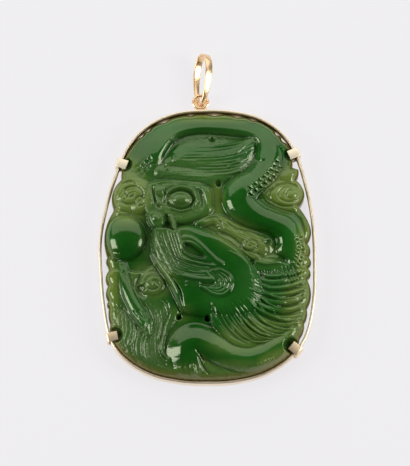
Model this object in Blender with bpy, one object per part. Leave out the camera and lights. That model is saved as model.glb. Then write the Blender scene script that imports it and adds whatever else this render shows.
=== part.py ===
"""A carved jade pendant in a gold band: a relief plaque with a coiled dragon, four claws, a ring and a bail.

Metres, +Z up. The pendant lies on its flat back: X runs across it, Y up to the bail, Z out of the carving.
The origin is the middle of the back. The outline and the carving are drawn in units of which the plaque is
DRAWN_WIDTH wide, DRAWN_HEIGHT high and DRAWN_THICKNESS thick, and are scaled to the sizes below.
"""

import bmesh
import bpy
import numpy as np
from mathutils import Vector
from mathutils.geometry import delaunay_2d_cdt

# Sizes of the real pendant, in metres
PLAQUE_WIDTH = 0.0415
PLAQUE_HEIGHT = 0.0549
PLAQUE_THICKNESS = 0.0080
BACK_CHAMFER = 0.0009
RIM_HEIGHT = 0.0019
RIM_ROUNDING = 0.0015
EDGE_INSET = 0.0003
BAND_WALL = 0.00055
BAND_BOTTOM = 0.0005
BAND_TOP = 0.0031
CLAW_WIDTH = 0.0017
CLAW_THICKNESS = 0.00045
CLAW_REACH = 0.0013
CLAW_HOOK = 0.0007
CLAW_FOOT = 0.0001
CLAW_HOOK_THICKNESS = 0.0003
CLAW_BEVEL = 0.00005
SOLDER_GAP = 0.00005
RING_WIRE = 0.0008
RING_HOLE = 0.0020
RING_X = -0.0014
BAIL_LENGTH = 0.0100
BAIL_DEPTH = 0.0046
BAIL_WALL = 0.00045
BAIL_STRIP_WIDTH = 0.0016
BAIL_STRIP_NARROW = 0.0009
BAIL_STRIP_BEVEL = 0.000135
BAIL_FOOT_SHARE = 0.62
BAIL_TURN = np.radians(33.0)
BAIL_LEAN = np.radians(4.5)
FLOOR_GAP = 0.00005

# The drawing that the outline and the carving are given in
DRAWN_WIDTH = 41.5
DRAWN_HEIGHT = 54.9
DRAWN_THICKNESS = 8.0
GROUND = 2.6
CROWN = 2.4
CROWN_HALF_WIDTH = 24.0
CROWN_HALF_HEIGHT = 28.5

# Where the claws stand round the band, in degrees from +X in the drawing
CLAW_ANGLES = {
    "claw_upper_right": 48.2,
    "claw_upper_left": 134.4,
    "claw_lower_left": 223.4,
    "claw_lower_right": 310.4,
}

# How finely the shapes are cut. The front's grid is thinned where it is nearly flat.
FRONT_STEP = 0.0005
FRONT_KEPT = 0.37
EDGE_STEP = 0.0007
BAND_STATIONS = 96
RING_STATIONS = 28
RING_SIDES = 8
BAIL_STATIONS = 44

JADE_GREEN = (0.012, 0.085, 0.012, 1.0)
GOLD = (0.93, 0.68, 0.36, 1.0)

# The inner face of the band, drawn anticlockwise from the right
BAND_LINE = [
    (21.15, -2.0), (20.85, 6.0), (19.6, 13.2), (17.75, 19.4), (14.9, 23.8), (10.5, 26.9), (5.5, 28.2),
    (0.0, 28.55), (-6.2, 27.95), (-11.7, 25.5), (-15.8, 21.1), (-18.5, 14.6), (-20.4, 7.4), (-21.25, 1.5),
    (-21.05, -4.5), (-20.4, -11.5), (-18.9, -18.4), (-15.8, -22.5), (-11.0, -25.3), (-5.5, -26.6),
    (0.0, -26.9), (5.5, -26.6), (11.2, -25.1), (16.3, -21.8), (19.4, -17.2), (20.9, -10.0),
]

# The scalloped sides of the jade: each corner, and how far the arc to the next one swells outwards
LEFT_SCALLOPS = [
    (-17.3, 16.3, 0.1), (-17.4, 14.4, 1.05), (-18.9, 8.2, 0.0), (-19.1, 7.6, 1.1), (-20.1, -1.7, 0.3),
    (-20.0, -3.5, 0.0), (-19.8, -4.4, 0.55), (-19.9, -7.6, 0.45), (-19.8, -10.7, 0.3), (-19.7, -12.1, 0.2),
    (-19.3, -15.4, 0.0),
]
RIGHT_SCALLOPS = [
    (18.3, -18.2, 0.3), (19.2, -15.2, 0.3), (19.8, -12.2, 0.75), (20.0, -6.3, 0.55), (20.2, -3.9, 0.5),
    (20.3, -1.6, 0.45), (20.1, 1.2, 0.55), (20.4, 5.4, 0.15), (18.5, 8.6, 1.3), (18.0, 14.3, 0.2),
    (18.4, 16.6, 0.0), (17.2, 17.0, 0.1), (17.2, 18.4, 0.0),
]

# The carving: bands are (x, y, half width, height) or (x, y, left, right, height), heights above the ground
BODY = [
    (-11.8, 14.4, 3.0, 0.9, 0.9), (-11.2, 17.4, 4.2, 1.0, 1.4), (-10.2, 19.8, 4.2, 1.0, 1.7),
    (-7.6, 22.4, 4.0, 1.0, 1.8), (-3.8, 23.8, 4.0, 1.0, 1.8), (0.0, 24.4, 3.8, 1.0, 1.7),
    (5.0, 24.2, 3.8, 1.2, 1.8), (9.6, 22.8, 4.2, 1.6, 1.9), (12.8, 20.2, 3.0, 3.6, 2.0),
    (13.0, 17.6, 2.2, 4.4, 2.2), (10.6, 14.4, 2.0, 4.6, 2.4), (7.6, 12.4, 2.4, 4.4, 2.5),
    (6.3, 9.8, 3.2, 3.4, 2.5), (8.2, 7.6, 3.0, 3.0, 2.4), (11.6, 6.3, 3.0, 2.9, 2.2),
    (14.8, 4.7, 3.2, 2.8, 2.1), (16.7, 2.0, 3.0, 3.2, 1.9), (16.9, -1.2, 2.6, 3.0, 1.6),
    (15.8, -4.0, 2.2, 2.4, 1.0),
]
TAIL = [
    (-4.9, -18.6, 2.9, 2.1), (-2.0, -18.2, 3.0, 2.2), (1.6, -19.8, 3.0, 2.2), (5.2, -21.7, 2.6, 2.1),
    (8.8, -22.2, 2.5, 2.0), (12.0, -21.3, 2.4, 1.8), (14.4, -19.4, 2.0, 1.5), (16.4, -17.0, 1.2, 1.0),
]
MANE = [
    (-6.6, 18.0, 1.2, 1.0), (-3.4, 18.6, 2.6, 1.5), (1.0, 18.6, 3.1, 1.6), (5.0, 19.3, 2.9, 1.6),
    (8.0, 21.3, 1.7, 1.5), (9.8, 23.0, 0.4, 1.2),
]
LOWER_MANE = [
    (-9.5, 16.4, 1.0, 1.0), (-6.0, 15.6, 1.5, 1.3), (-1.5, 15.0, 1.6, 1.3), (2.6, 15.4, 1.2, 1.1),
    (6.3, 17.6, 0.6, 0.9),
]
MIDDLE_CLOUD = [
    (-1.5, 5.4, 0.9, 1.0), (1.5, 6.0, 1.2, 1.1), (4.2, 4.2, 1.7, 1.1), (7.5, 1.6, 2.3, 1.2),
    (11.0, 0.2, 2.0, 1.0),
]
RIGHT_WISP = [(19.6, 6.5, 1.0, 0.7), (20.3, 3.5, 1.3, 0.8), (20.0, 0.6, 1.0, 0.7)]
LEFT_WISP = [
    (-19.4, -4.4, 0.9, 0.6), (-19.4, -8.0, 1.1, 0.7), (-19.0, -12.0, 1.2, 0.7),
    (-18.4, -15.0, 1.0, 0.6),
]
EYELID = [
    (-8.6, 9.2, 0.7, 1.7), (-7.9, 11.4, 0.8, 2.0), (-5.3, 12.5, 0.8, 2.1), (-2.7, 11.7, 0.8, 2.0),
    (-1.9, 9.8, 0.7, 1.8),
]
NOSE_FOLD = [(-11.9, 7.2, 0.7, 1.3), (-11.8, 5.0, 0.8, 1.6), (-10.9, 2.8, 0.9, 1.8), (-9.6, 0.2, 0.9, 1.8)]
CHEEK_FOLD = [(-8.4, 7.0, 0.9, 1.5), (-6.8, 5.4, 1.2, 1.8), (-5.8, 3.4, 1.0, 1.8), (-5.3, 1.0, 0.7, 1.6)]
NECK = [(-4.8, 2.8, 1.6, 1.9), (-2.4, 0.4, 3.4, 2.3), (1.0, -3.2, 5.0, 2.5), (3.4, -6.2, 5.2, 2.5)]
NECK_EDGE = [(-6.0, 3.4, 0.5, 2.2), (-3.0, 1.6, 0.5, 2.8), (-0.4, -0.7, 0.5, 3.0), (2.2, -3.0, 0.4, 3.0)]
JAW = [
    (-10.6, -0.6, 0.5, 0.7, 1.6), (-9.0, -3.4, 0.8, 1.3, 2.2), (-7.2, -5.8, 0.8, 1.6, 2.6),
    (-5.6, -8.2, 0.8, 1.9, 2.8), (-4.8, -10.2, 0.8, 1.6, 2.6), (-4.9, -12.2, 0.6, 0.6, 1.6),
]
LIMB = [
    (-17.6, -3.6, 1.1, 1.0), (-16.9, -6.4, 1.8, 1.6), (-15.8, -9.0, 2.0, 1.8), (-13.9, -11.6, 1.8, 1.8),
    (-12.6, -14.2, 1.5, 1.5), (-12.3, -16.9, 0.9, 1.0),
]

# Guide lines that the locks of hair are spread across
FRINGE = [
    [(8.8, -3.6), (12.0, -5.2), (15.6, -5.2), (19.0, -3.8)],
    [(8.6, -7.3), (12.2, -8.3), (16.2, -8.0), (20.0, -6.9)],
    [(8.8, -10.2), (12.0, -11.9), (16.0, -12.2), (20.0, -11.3)],
    [(7.0, -12.4), (10.2, -15.2), (14.2, -16.4), (18.8, -16.2)],
    [(4.4, -13.2), (6.8, -16.6), (10.0, -18.6), (14.6, -18.4)],
    [(1.4, -12.6), (3.0, -15.8), (5.2, -18.2), (8.6, -19.6)],
]
BEARD = [
    [(-18.8, -12.0), (-18.6, -15.6), (-17.4, -19.4), (-15.0, -22.8)],
    [(-16.2, -11.6), (-16.4, -15.8), (-15.6, -20.0), (-12.4, -24.2)],
    [(-13.6, -15.0), (-13.8, -18.0), (-12.8, -21.6), (-9.4, -25.4)],
    [(-10.4, -12.4), (-11.2, -16.6), (-10.8, -20.6), (-7.4, -25.6)],
    [(-7.6, -11.4), (-8.6, -15.6), (-8.6, -20.2), (-6.0, -25.8)],
]
WHISKERS = [
    [(-9.4, 3.8), (-6.6, 0.2), (-3.8, -2.2), (0.0, -3.2), (3.5, -3.7)],
    [(-10.0, 2.2), (-8.0, -1.2), (-5.0, -3.2), (-1.4, -4.2), (1.8, -4.5)],
    [(-10.3, 0.4), (-8.4, -2.6), (-6.0, -4.4), (-2.8, -5.4), (0.4, -5.7)],
    [(-10.3, -1.2), (-8.4, -3.9), (-5.6, -5.7), (-2.2, -6.6), (1.3, -6.9)],
]

X_SCALE = PLAQUE_WIDTH / DRAWN_WIDTH
Y_SCALE = PLAQUE_HEIGHT / DRAWN_HEIGHT
Z_SCALE = PLAQUE_THICKNESS / DRAWN_THICKNESS


def clear_scene():
    for item in list(bpy.data.objects):
        bpy.data.objects.remove(item, do_unlink=True)


def make_material(name, colour, metallic, roughness):
    material = bpy.data.materials.new(name)
    material.use_nodes = True
    shader = material.node_tree.nodes["Principled BSDF"]
    shader.inputs["Base Color"].default_value = colour
    shader.inputs["Metallic"].default_value = metallic
    shader.inputs["Roughness"].default_value = roughness
    material.diffuse_color = colour
    return material


def make_object(name, points, faces, material):
    """One named mesh object with its faces pointing outwards."""
    mesh = bpy.data.meshes.new(name)
    mesh.from_pydata([tuple(p) for p in points], [], [tuple(f) for f in faces])
    shape = bmesh.new()
    shape.from_mesh(mesh)
    bmesh.ops.recalc_face_normals(shape, faces=shape.faces)
    shape.to_mesh(mesh)
    shape.free()
    mesh.shade_smooth()
    mesh.set_sharp_from_angle(angle=np.radians(40.0))
    mesh.materials.append(material)
    item = bpy.data.objects.new(name, mesh)
    bpy.context.scene.collection.objects.link(item)
    return item


def curve(points, steps=8, closed=False):
    """A smooth curve through the points, which smooths every column of numbers alike."""
    p = np.asarray(points, float)
    if closed:
        p = np.vstack([p[-1], p, p[:2]])
    else:
        p = np.vstack([2 * p[0] - p[1], p, 2 * p[-1] - p[-2]])
    u = (np.arange(steps) / steps)[:, None]
    parts = [
        0.5 * (2 * b + (c - a) * u + (2 * a - 5 * b + 4 * c - d) * u**2 + (3 * b - a - 3 * c + d) * u**3)
        for a, b, c, d in zip(p[:-3], p[1:-2], p[2:-1], p[3:])
    ]
    if not closed:
        parts.append(p[-2][None])
    return np.vstack(parts)


def across(guides, count):
    """count smooth paths, spread evenly across the guide lines."""
    lines = np.array([curve(guide, 6) for guide in guides])
    flat = curve(lines.reshape(len(lines), -1), 12)
    at = np.linspace(0, len(flat) - 1, count)
    low = np.floor(at).astype(int)
    high = np.minimum(low + 1, len(flat) - 1)
    rows = flat[low] + (flat[high] - flat[low]) * (at - low)[:, None]
    return rows.reshape(count, -1, 2)


class Carving:
    """The height of the carved face over a set of points of the drawing, built up form by form."""

    def __init__(self, x, y):
        self.x = x
        self.y = y
        crown = 1 - (x / CROWN_HALF_WIDTH) ** 2 - (y / CROWN_HALF_HEIGHT) ** 2
        self.ground = GROUND + CROWN * crown
        self.height = np.zeros_like(x)

    def near(self, path, reach):
        low = path[:, :2].min(0) - reach
        high = path[:, :2].max(0) + reach
        inside = (self.x > low[0]) & (self.x < high[0]) & (self.y > low[1]) & (self.y < high[1])
        return np.flatnonzero(inside)

    def measure(self, index, path):
        """For those points: the distance to the path, the path's values there and the side they lie on."""
        x, y = self.x[index], self.y[index]
        best = np.full(x.shape, np.inf)
        values = np.zeros((len(x), path.shape[1]))
        side = np.zeros(x.shape)
        for a, b in zip(path[:-1], path[1:]):
            dx, dy = b[0] - a[0], b[1] - a[1]
            t = np.clip(((x - a[0]) * dx + (y - a[1]) * dy) / (dx * dx + dy * dy), 0, 1)
            d = np.hypot(x - a[0] - t * dx, y - a[1] - t * dy)
            closer = d < best
            best[closer] = d[closer]
            values[closer] = a + (b - a) * t[closer, None]
            side[closer] = (dx * (y - a[1]) - dy * (x - a[0]))[closer]
        return best, values, side

    def lift_path(self, path, full, fall):
        index = self.near(path, path[:, 2:-1].max())
        d, values, side = self.measure(index, path)
        width = np.where(side > 0, values[:, 2], values[:, -2])
        u = np.clip(d / width, 0, 1)
        height = values[:, -1] * (1 - u**full) ** fall
        self.height[index] = np.maximum(self.height[index], height)

    def lift(self, points, full=2.4, fall=0.75):
        """Raises a rounded band along the points."""
        self.lift_path(curve(points), full, fall)

    def locks(self, guides, count, width, height, full=2.0, fall=0.7):
        """Raises count bands side by side across the guide lines, thin at both ends."""
        for path in across(guides, count):
            t = np.linspace(0.05, 0.95, len(path))
            taper = np.sin(np.pi * t) ** 0.5
            self.lift_path(np.column_stack([path, width * taper, height * taper]), full, fall)

    def dome(self, x, y, half_width, half_height, height, turn=0.0, full=2.0, fall=0.6):
        """Raises an oval dome, turned by the given degrees."""
        a = np.radians(turn)
        dx, dy = self.x - x, self.y - y
        along = (dx * np.cos(a) + dy * np.sin(a)) / half_width
        over = (dy * np.cos(a) - dx * np.sin(a)) / half_height
        u = np.clip(np.hypot(along, over), 0, 1)
        self.height = np.maximum(self.height, height * (1 - u**full) ** fall)

    def pit(self, x, y, radius, depth):
        """Drills a round blind hole."""
        d = np.hypot(self.x - x, self.y - y)
        self.height = self.height - depth * np.exp(-((d / radius) ** 6))

    def surface(self):
        return self.ground + self.height


def carve_clouds(carving):
    carving.dome(-15.6, 11.0, 4.4, 3.9, 1.1)
    carving.dome(-12.6, 9.2, 2.4, 2.2, 1.2)
    carving.dome(15.9, 10.9, 4.9, 3.0, 1.2, turn=-8)
    carving.dome(17.0, 15.6, 2.6, 1.6, 0.8, turn=20)
    carving.lift(RIGHT_WISP)
    carving.lift(MIDDLE_CLOUD)
    carving.dome(9.8, 1.2, 3.2, 2.6, 1.3, turn=-25)


def carve_head(carving):
    carving.lift(MANE)
    carving.lift(LOWER_MANE)
    carving.dome(-5.2, 9.8, 5.6, 3.9, 1.5)
    carving.dome(-9.2, 11.9, 2.1, 1.9, 1.8)
    carving.dome(-0.2, 10.2, 2.2, 3.2, 1.3)
    carving.lift(EYELID)
    carving.dome(-5.3, 9.8, 2.5, 1.8, 2.5)
    carving.dome(-10.4, 5.9, 1.7, 1.6, 2.1)
    carving.lift(NOSE_FOLD)
    carving.lift(CHEEK_FOLD)


def carve_neck(carving):
    carving.lift(NECK, full=5.0, fall=0.7)
    carving.dome(2.0, -7.0, 7.3, 5.7, 2.5, turn=-12, full=5.0, fall=0.7)
    carving.locks(WHISKERS, 5, 0.75, 3.0)
    carving.lift(NECK_EDGE)
    carving.lift(JAW)
    carving.dome(2.6, -7.3, 2.7, 2.7, 2.85, full=3.0, fall=0.5)


def carve_lower_left(carving):
    carving.dome(-10.9, -7.4, 3.6, 3.3, 1.7, full=2.6)
    carving.lift(LIMB)
    carving.lift(LEFT_WISP)
    carving.locks(BEARD, 9, 0.95, 1.2)


def carve_spines(carving):
    """The short spines that stand out under the tail."""
    for i in range(9):
        x = -7.0 + 2.3 * i
        carving.lift([(x, -22.0, 0.5, 0.7), (x + 0.7, -23.8, 0.8, 0.9), (x + 2.0, -26.0, 0.6, 0.5)])


def drill_holes(carving):
    """The small blind holes: the old hanging hole at the top, and those between the forms."""
    carving.pit(0.95, 22.6, 0.6, 1.6)
    carving.pit(2.2, 13.3, 0.6, 1.4)
    carving.pit(12.2, 1.1, 0.75, 1.4)
    carving.pit(-5.7, -13.7, 0.6, 1.3)
    carving.pit(0.0, -13.9, 0.6, 1.3)


def carved_height(x, y):
    """The height of the front over points of the drawing, in drawn units, before the rim is rounded."""
    carving = Carving(x, y)
    carve_clouds(carving)
    carving.lift(BODY)
    carve_head(carving)
    carving.dome(-16.5, 2.3, 4.3, 4.7, 2.4, full=2.4, fall=0.55)
    carve_neck(carving)
    carve_lower_left(carving)
    carving.locks(FRINGE, 14, 0.85, 1.4)
    carving.lift(TAIL, full=2.2, fall=0.6)
    carve_spines(carving)
    drill_holes(carving)
    return carving.surface()


def outward(line):
    """The outward direction at each point of an anticlockwise closed line."""
    along = np.roll(line, -1, axis=0) - np.roll(line, 1, axis=0)
    normal = np.column_stack([along[:, 1], -along[:, 0]])
    return normal / np.linalg.norm(normal, axis=1)[:, None]


def evenly(line, count, closed=True):
    """count points spread evenly along the line."""
    if closed:
        line = np.vstack([line, line[:1]])
    length = np.concatenate([[0], np.cumsum(np.linalg.norm(np.diff(line, axis=0), axis=1))])
    at = np.linspace(0, length[-1], count + 1)[:-1] if closed else np.linspace(0, length[-1], count)
    return np.column_stack([np.interp(at, length, line[:, 0]), np.interp(at, length, line[:, 1])])


def band_line():
    """The band's inner face, anticlockwise, in metres."""
    return curve(np.array(BAND_LINE) * (X_SCALE, Y_SCALE), 12, closed=True)


def band_faces():
    """The corners of the band's inner and outer face, in metres."""
    inner = evenly(band_line(), BAND_STATIONS)
    return inner, inner + outward(inner) * BAND_WALL


def on_band(angle):
    """The point of the band's inner face at that angle of the drawing, and its outward direction."""
    line = band_line()
    turned = np.degrees(np.arctan2(line[:, 1] / Y_SCALE, line[:, 0] / X_SCALE)) - angle
    i = int(np.argmin(np.abs((turned + 180) % 360 - 180)))
    return line[i], outward(line)[i]


def under_band(first_angle, last_angle):
    """The smooth stretch of the jade's edge that follows the band between two angles."""
    line = band_line()
    inner = line - outward(line) * EDGE_INSET
    turned = (np.degrees(np.arctan2(inner[:, 1] / Y_SCALE, inner[:, 0] / X_SCALE)) - first_angle) % 360
    order = np.argsort(turned)
    return inner[order][turned[order] < (last_angle - first_angle) % 360]


def scalloped(corners):
    """The arcs between the corners, each swelling outwards by its own amount."""
    points = []
    for (ax, ay, swell), (bx, by, _) in zip(corners[:-1], corners[1:]):
        a = np.array((ax * X_SCALE, ay * Y_SCALE))
        b = np.array((bx * X_SCALE, by * Y_SCALE))
        along = b - a
        out = np.array((along[1], -along[0])) / np.linalg.norm(along)
        for t in np.linspace(0, 1, 12)[:-1]:
            points.append(a + along * t + out * swell * X_SCALE * 4 * t * (1 - t))
    points.append(b)
    return np.array(points)


def jade_edge():
    """The jade's edge, anticlockwise, in metres."""
    upper = under_band(CLAW_ANGLES["claw_upper_right"] - 1.5, CLAW_ANGLES["claw_upper_left"] + 3.0)
    lower = under_band(CLAW_ANGLES["claw_lower_left"] - 3.5, CLAW_ANGLES["claw_lower_right"] + 2.5)
    line = np.vstack([upper, scalloped(LEFT_SCALLOPS), lower, scalloped(RIGHT_SCALLOPS)])
    length = np.linalg.norm(np.roll(line, -1, axis=0) - line, axis=1).sum()
    return evenly(line, int(length / EDGE_STEP))


def distance_to(points, line):
    """The distance from each point to a closed line."""
    best = np.full(len(points), np.inf)
    for a, b in zip(line, np.roll(line, -1, axis=0)):
        along = b - a
        t = np.clip((points - a) @ along / (along @ along), 0, 1)
        best = np.minimum(best, np.linalg.norm(points - a - t[:, None] * along, axis=1))
    return best


def front_height(points, edge):
    """The carved front over the points, in metres: rounded off to the rim, and flat under the claws."""
    z = carved_height(points[:, 0] / X_SCALE, points[:, 1] / Y_SCALE) * Z_SCALE
    inside = np.clip(distance_to(points, edge) / RIM_ROUNDING, 0, 1)
    z = RIM_HEIGHT + np.maximum(z - RIM_HEIGHT, 0) * np.sqrt(1 - (1 - inside) ** 2)
    seat = BAND_TOP - SOLDER_GAP
    for angle in CLAW_ANGLES.values():
        place, out = on_band(angle)
        away = points - (place - out * CLAW_REACH / 2)
        under = np.linalg.norm(away, axis=1) < CLAW_WIDTH
        z = np.where(under, np.minimum(z, seat), z)
    return z


def fill_grid(edge, step):
    """Points of a triangular grid inside the edge, clear of it."""
    low, high = edge.min(0), edge.max(0)
    rows = []
    for i, y in enumerate(np.arange(low[1], high[1], step * np.sqrt(0.75))):
        x = np.arange(low[0] + (i % 2) * step / 2, high[0], step)
        rows.append(np.column_stack([x, np.full_like(x, y)]))
    points = np.vstack(rows)
    crossings = np.zeros(len(points), int)
    for a, b in zip(edge, np.roll(edge, -1, axis=0)):
        spans = (a[1] > points[:, 1]) != (b[1] > points[:, 1])
        at = a[0] + (points[:, 1] - a[1]) / (b[1] - a[1] + 1e-12) * (b[0] - a[0])
        crossings += spans & (points[:, 0] < at)
    points = points[crossings % 2 == 1]
    return points[distance_to(points, edge) > step * 0.55]


def triangulate(edge, inner):
    """The triangles inside a closed edge, with the inner points as corners too."""
    points = np.vstack([edge, inner]) if len(inner) else edge
    count = len(edge)
    ring = [(i, (i + 1) % count) for i in range(count)]
    coords = [Vector(p) for p in points * 1000]
    found = delaunay_2d_cdt(coords, ring, [list(range(count))], 1, 1e-6)
    order = [source[0] for source in found[3]]
    return [[order[i] for i in face] for face in found[2]]


def make_jade(material):
    """The jade plaque: carved front, upright edge, chamfered and flat back."""
    edge = jade_edge()
    grid = fill_grid(edge, FRONT_STEP)
    count = len(edge)
    front = triangulate(edge, grid)
    flat = np.vstack([edge, grid])
    height = front_height(flat, edge)
    radius = np.linalg.norm(edge, axis=1)[:, None]
    back = edge * (1 - BACK_CHAMFER / radius)
    chamfer = np.column_stack([edge, np.full(count, BACK_CHAMFER)])
    points = np.vstack([np.column_stack([flat, height]), chamfer, np.column_stack([back, np.zeros(count)])])
    first_chamfer = len(flat)
    first_back = first_chamfer + count
    faces = list(front)
    for i in range(count):
        j = (i + 1) % count
        faces.append((i, first_chamfer + i, first_chamfer + j, j))
        faces.append((first_chamfer + i, first_back + i, first_back + j, first_chamfer + j))
    faces += [[first_back + k for k in face] for face in triangulate(back, np.empty((0, 2)))]
    jade = make_object("jade_plaque", points, faces, material)
    carved = jade.vertex_groups.new(name="carved")
    carved.add(list(range(count, len(flat))), 1.0, "REPLACE")
    thin = jade.modifiers.new("thin", "DECIMATE")
    thin.ratio = FRONT_KEPT
    thin.vertex_group = carved.name
    return jade


def make_band(material):
    """The band that is bent round the jade."""
    inner, outer = band_faces()
    rings = [(inner, BAND_BOTTOM), (outer, BAND_BOTTOM), (outer, BAND_TOP), (inner, BAND_TOP)]
    points = np.vstack([np.column_stack([line, np.full(len(line), z)]) for line, z in rings])
    n = BAND_STATIONS
    faces = []
    for side in range(4):
        following = (side + 1) % 4
        for i in range(n):
            j = (i + 1) % n
            faces.append((side * n + i, side * n + j, following * n + j, following * n + i))
    return make_object("frame_band", points, faces, material)


def make_claw(name, angle, material):
    """A claw: a strip on the band's outside, folded over the jade's face and hooked under its back."""
    place, out = on_band(angle)
    along = np.array((-out[1], out[0]))
    outer = band_faces()[1] - place
    beside = (np.abs(outer @ along) < 2 * CLAW_WIDTH) & (outer @ out > -CLAW_WIDTH)
    start = (outer[beside] @ out).max() + SOLDER_GAP
    top = BAND_TOP + SOLDER_GAP
    outside = start + CLAW_THICKNESS
    under = CLAW_FOOT + CLAW_HOOK_THICKNESS
    profile = [
        (outside, CLAW_FOOT), (outside, top + CLAW_THICKNESS), (-CLAW_REACH, top + CLAW_THICKNESS),
        (-CLAW_REACH, top), (start, top), (start, under), (-CLAW_HOOK, under), (-CLAW_HOOK, CLAW_FOOT),
    ]
    points = []
    for side in (-0.5, 0.5):
        for n, z in profile:
            flat = place + out * n + along * side * CLAW_WIDTH
            points.append((flat[0], flat[1], z))
    count = len(profile)
    faces = [list(range(count)), list(range(count, 2 * count))]
    faces += [(i, (i + 1) % count, count + (i + 1) % count, count + i) for i in range(count)]
    claw = make_object(name, points, faces, material)
    bevel = claw.modifiers.new("edges", "BEVEL")
    bevel.width = CLAW_BEVEL
    bevel.segments = 1
    return claw


def ring_centre():
    """The middle of the ring, which is soldered to the top of the band."""
    outer = band_faces()[1]
    top = outer[np.abs(outer[:, 0] - RING_X) < RING_HOLE, 1].max()
    return np.array((RING_X, top + SOLDER_GAP + RING_WIRE + RING_HOLE / 2, (BAND_BOTTOM + BAND_TOP) / 2))


def make_tube(name, sections, material):
    """A closed tube through rings of points, each with the same number of corners."""
    count, sides = len(sections), len(sections[0])
    points = np.vstack(sections)
    faces = []
    for i in range(count):
        j = (i + 1) % count
        for k in range(sides):
            m = (k + 1) % sides
            faces.append((i * sides + k, i * sides + m, j * sides + m, j * sides + k))
    return make_object(name, points, faces, material)


def make_ring(material):
    """The small wire ring on top of the band."""
    centre = ring_centre()
    middle = (RING_HOLE + RING_WIRE) / 2
    sections = []
    for i in range(RING_STATIONS):
        a = 2 * np.pi * i / RING_STATIONS
        out = np.array((np.cos(a), np.sin(a), 0.0))
        section = []
        for k in range(RING_SIDES):
            b = 2 * np.pi * (k + 0.5) / RING_SIDES
            wire = out * np.cos(b) + (0, 0, np.sin(b))
            section.append(centre + out * middle + wire * RING_WIRE / 2)
        sections.append(np.array(section))
    return make_tube("hanging_ring", sections, material)


def bail_sections(slope):
    """The cross sections round the bail, which leaves the ring at that slope."""
    along = np.array((np.sin(BAIL_LEAN), np.cos(BAIL_LEAN), slope))
    along = along / np.linalg.norm(along)
    over = np.array((np.cos(BAIL_TURN), 0.0, -np.sin(BAIL_TURN)))
    over = over - along * (over @ along)
    over = over / np.linalg.norm(over)
    depth = np.cross(over, along)
    start = ring_centre() - along * BAIL_WALL
    t = 2 * np.pi * np.arange(BAIL_STATIONS) / BAIL_STATIONS
    rise = (1 - np.cos(t)) / 2
    swell = BAIL_FOOT_SHARE + (1 - BAIL_FOOT_SHARE) * rise
    line = np.column_stack([BAIL_LENGTH * rise, BAIL_DEPTH / 2 * np.sin(t) * swell])
    tangent = np.roll(line, -1, axis=0) - np.roll(line, 1, axis=0)
    normal = np.column_stack([-tangent[:, 1], tangent[:, 0]])
    normal = normal / np.linalg.norm(normal, axis=1)[:, None]
    cut = BAIL_STRIP_BEVEL
    sections = []
    for i in range(BAIL_STATIONS):
        half = (BAIL_STRIP_NARROW + (BAIL_STRIP_WIDTH - BAIL_STRIP_NARROW) * min(1.0, 1.6 * rise[i])) / 2
        corners = [
            (0, half - cut), (cut, half), (BAIL_WALL - cut, half), (BAIL_WALL, half - cut),
            (BAIL_WALL, cut - half), (BAIL_WALL - cut, -half), (cut, -half), (0, cut - half),
        ]
        section = []
        for out, side in corners:
            v, w = line[i] + normal[i] * out
            section.append(start + along * v + depth * w + over * side)
        sections.append(section)
    return np.array(sections)


def make_bail(material):
    """The bail: a strip bent into a drop-shaped loop that passes through the ring and rests on the floor."""
    level = bail_sections(0.0).reshape(-1, 3)
    reach = level[:, 1] - ring_centre()[1]
    wide = reach > BAIL_LENGTH / 3
    slope = ((FLOOR_GAP - level[wide, 2]) / reach[wide]).max()
    return make_tube("bail", bail_sections(slope), material)


def main():
    clear_scene()
    jade = make_material("jade", JADE_GREEN, 0.0, 0.15)
    gold = make_material("gold", GOLD, 1.0, 0.2)
    make_jade(jade)
    make_band(gold)
    for name, angle in CLAW_ANGLES.items():
        make_claw(name, angle, gold)
    make_ring(gold)
    make_bail(gold)


main()
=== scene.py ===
"""A carved jade pendant in a gold band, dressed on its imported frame.

The pendant lies on its back on a pale table and is seen from above and a little below its foot. Sizes of
the stone, the band and the claws are in millimetres, as a jeweller states them. Those of the bail, the lamps
and the camera are in metres.
"""

from __future__ import annotations

import logging
import math
from abc import ABC, abstractmethod
from dataclasses import dataclass
from enum import Enum

import bmesh
import bpy
import numpy as np
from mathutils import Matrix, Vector
from mathutils.geometry import delaunay_2d_cdt


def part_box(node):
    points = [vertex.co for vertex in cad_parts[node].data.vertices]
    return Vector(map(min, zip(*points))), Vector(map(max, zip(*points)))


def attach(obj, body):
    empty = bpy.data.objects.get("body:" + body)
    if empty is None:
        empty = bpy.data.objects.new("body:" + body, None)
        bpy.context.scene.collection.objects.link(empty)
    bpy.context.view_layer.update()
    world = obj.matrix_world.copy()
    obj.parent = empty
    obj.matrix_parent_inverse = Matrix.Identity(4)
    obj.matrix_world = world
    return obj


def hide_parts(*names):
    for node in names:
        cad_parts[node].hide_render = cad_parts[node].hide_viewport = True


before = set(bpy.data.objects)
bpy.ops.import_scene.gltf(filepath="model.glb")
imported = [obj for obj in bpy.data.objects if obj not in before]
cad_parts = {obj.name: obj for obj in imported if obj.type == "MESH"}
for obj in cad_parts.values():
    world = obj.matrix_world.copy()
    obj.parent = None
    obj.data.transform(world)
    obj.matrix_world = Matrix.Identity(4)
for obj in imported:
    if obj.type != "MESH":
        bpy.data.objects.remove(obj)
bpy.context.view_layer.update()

log = logging.getLogger("pendant")

Row = tuple[float, ...]
Path2 = tuple[tuple[float, float], ...]
Colour = tuple[float, float, float, float]
Socket = bpy.types.NodeSocket
MM = 0.001


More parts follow.
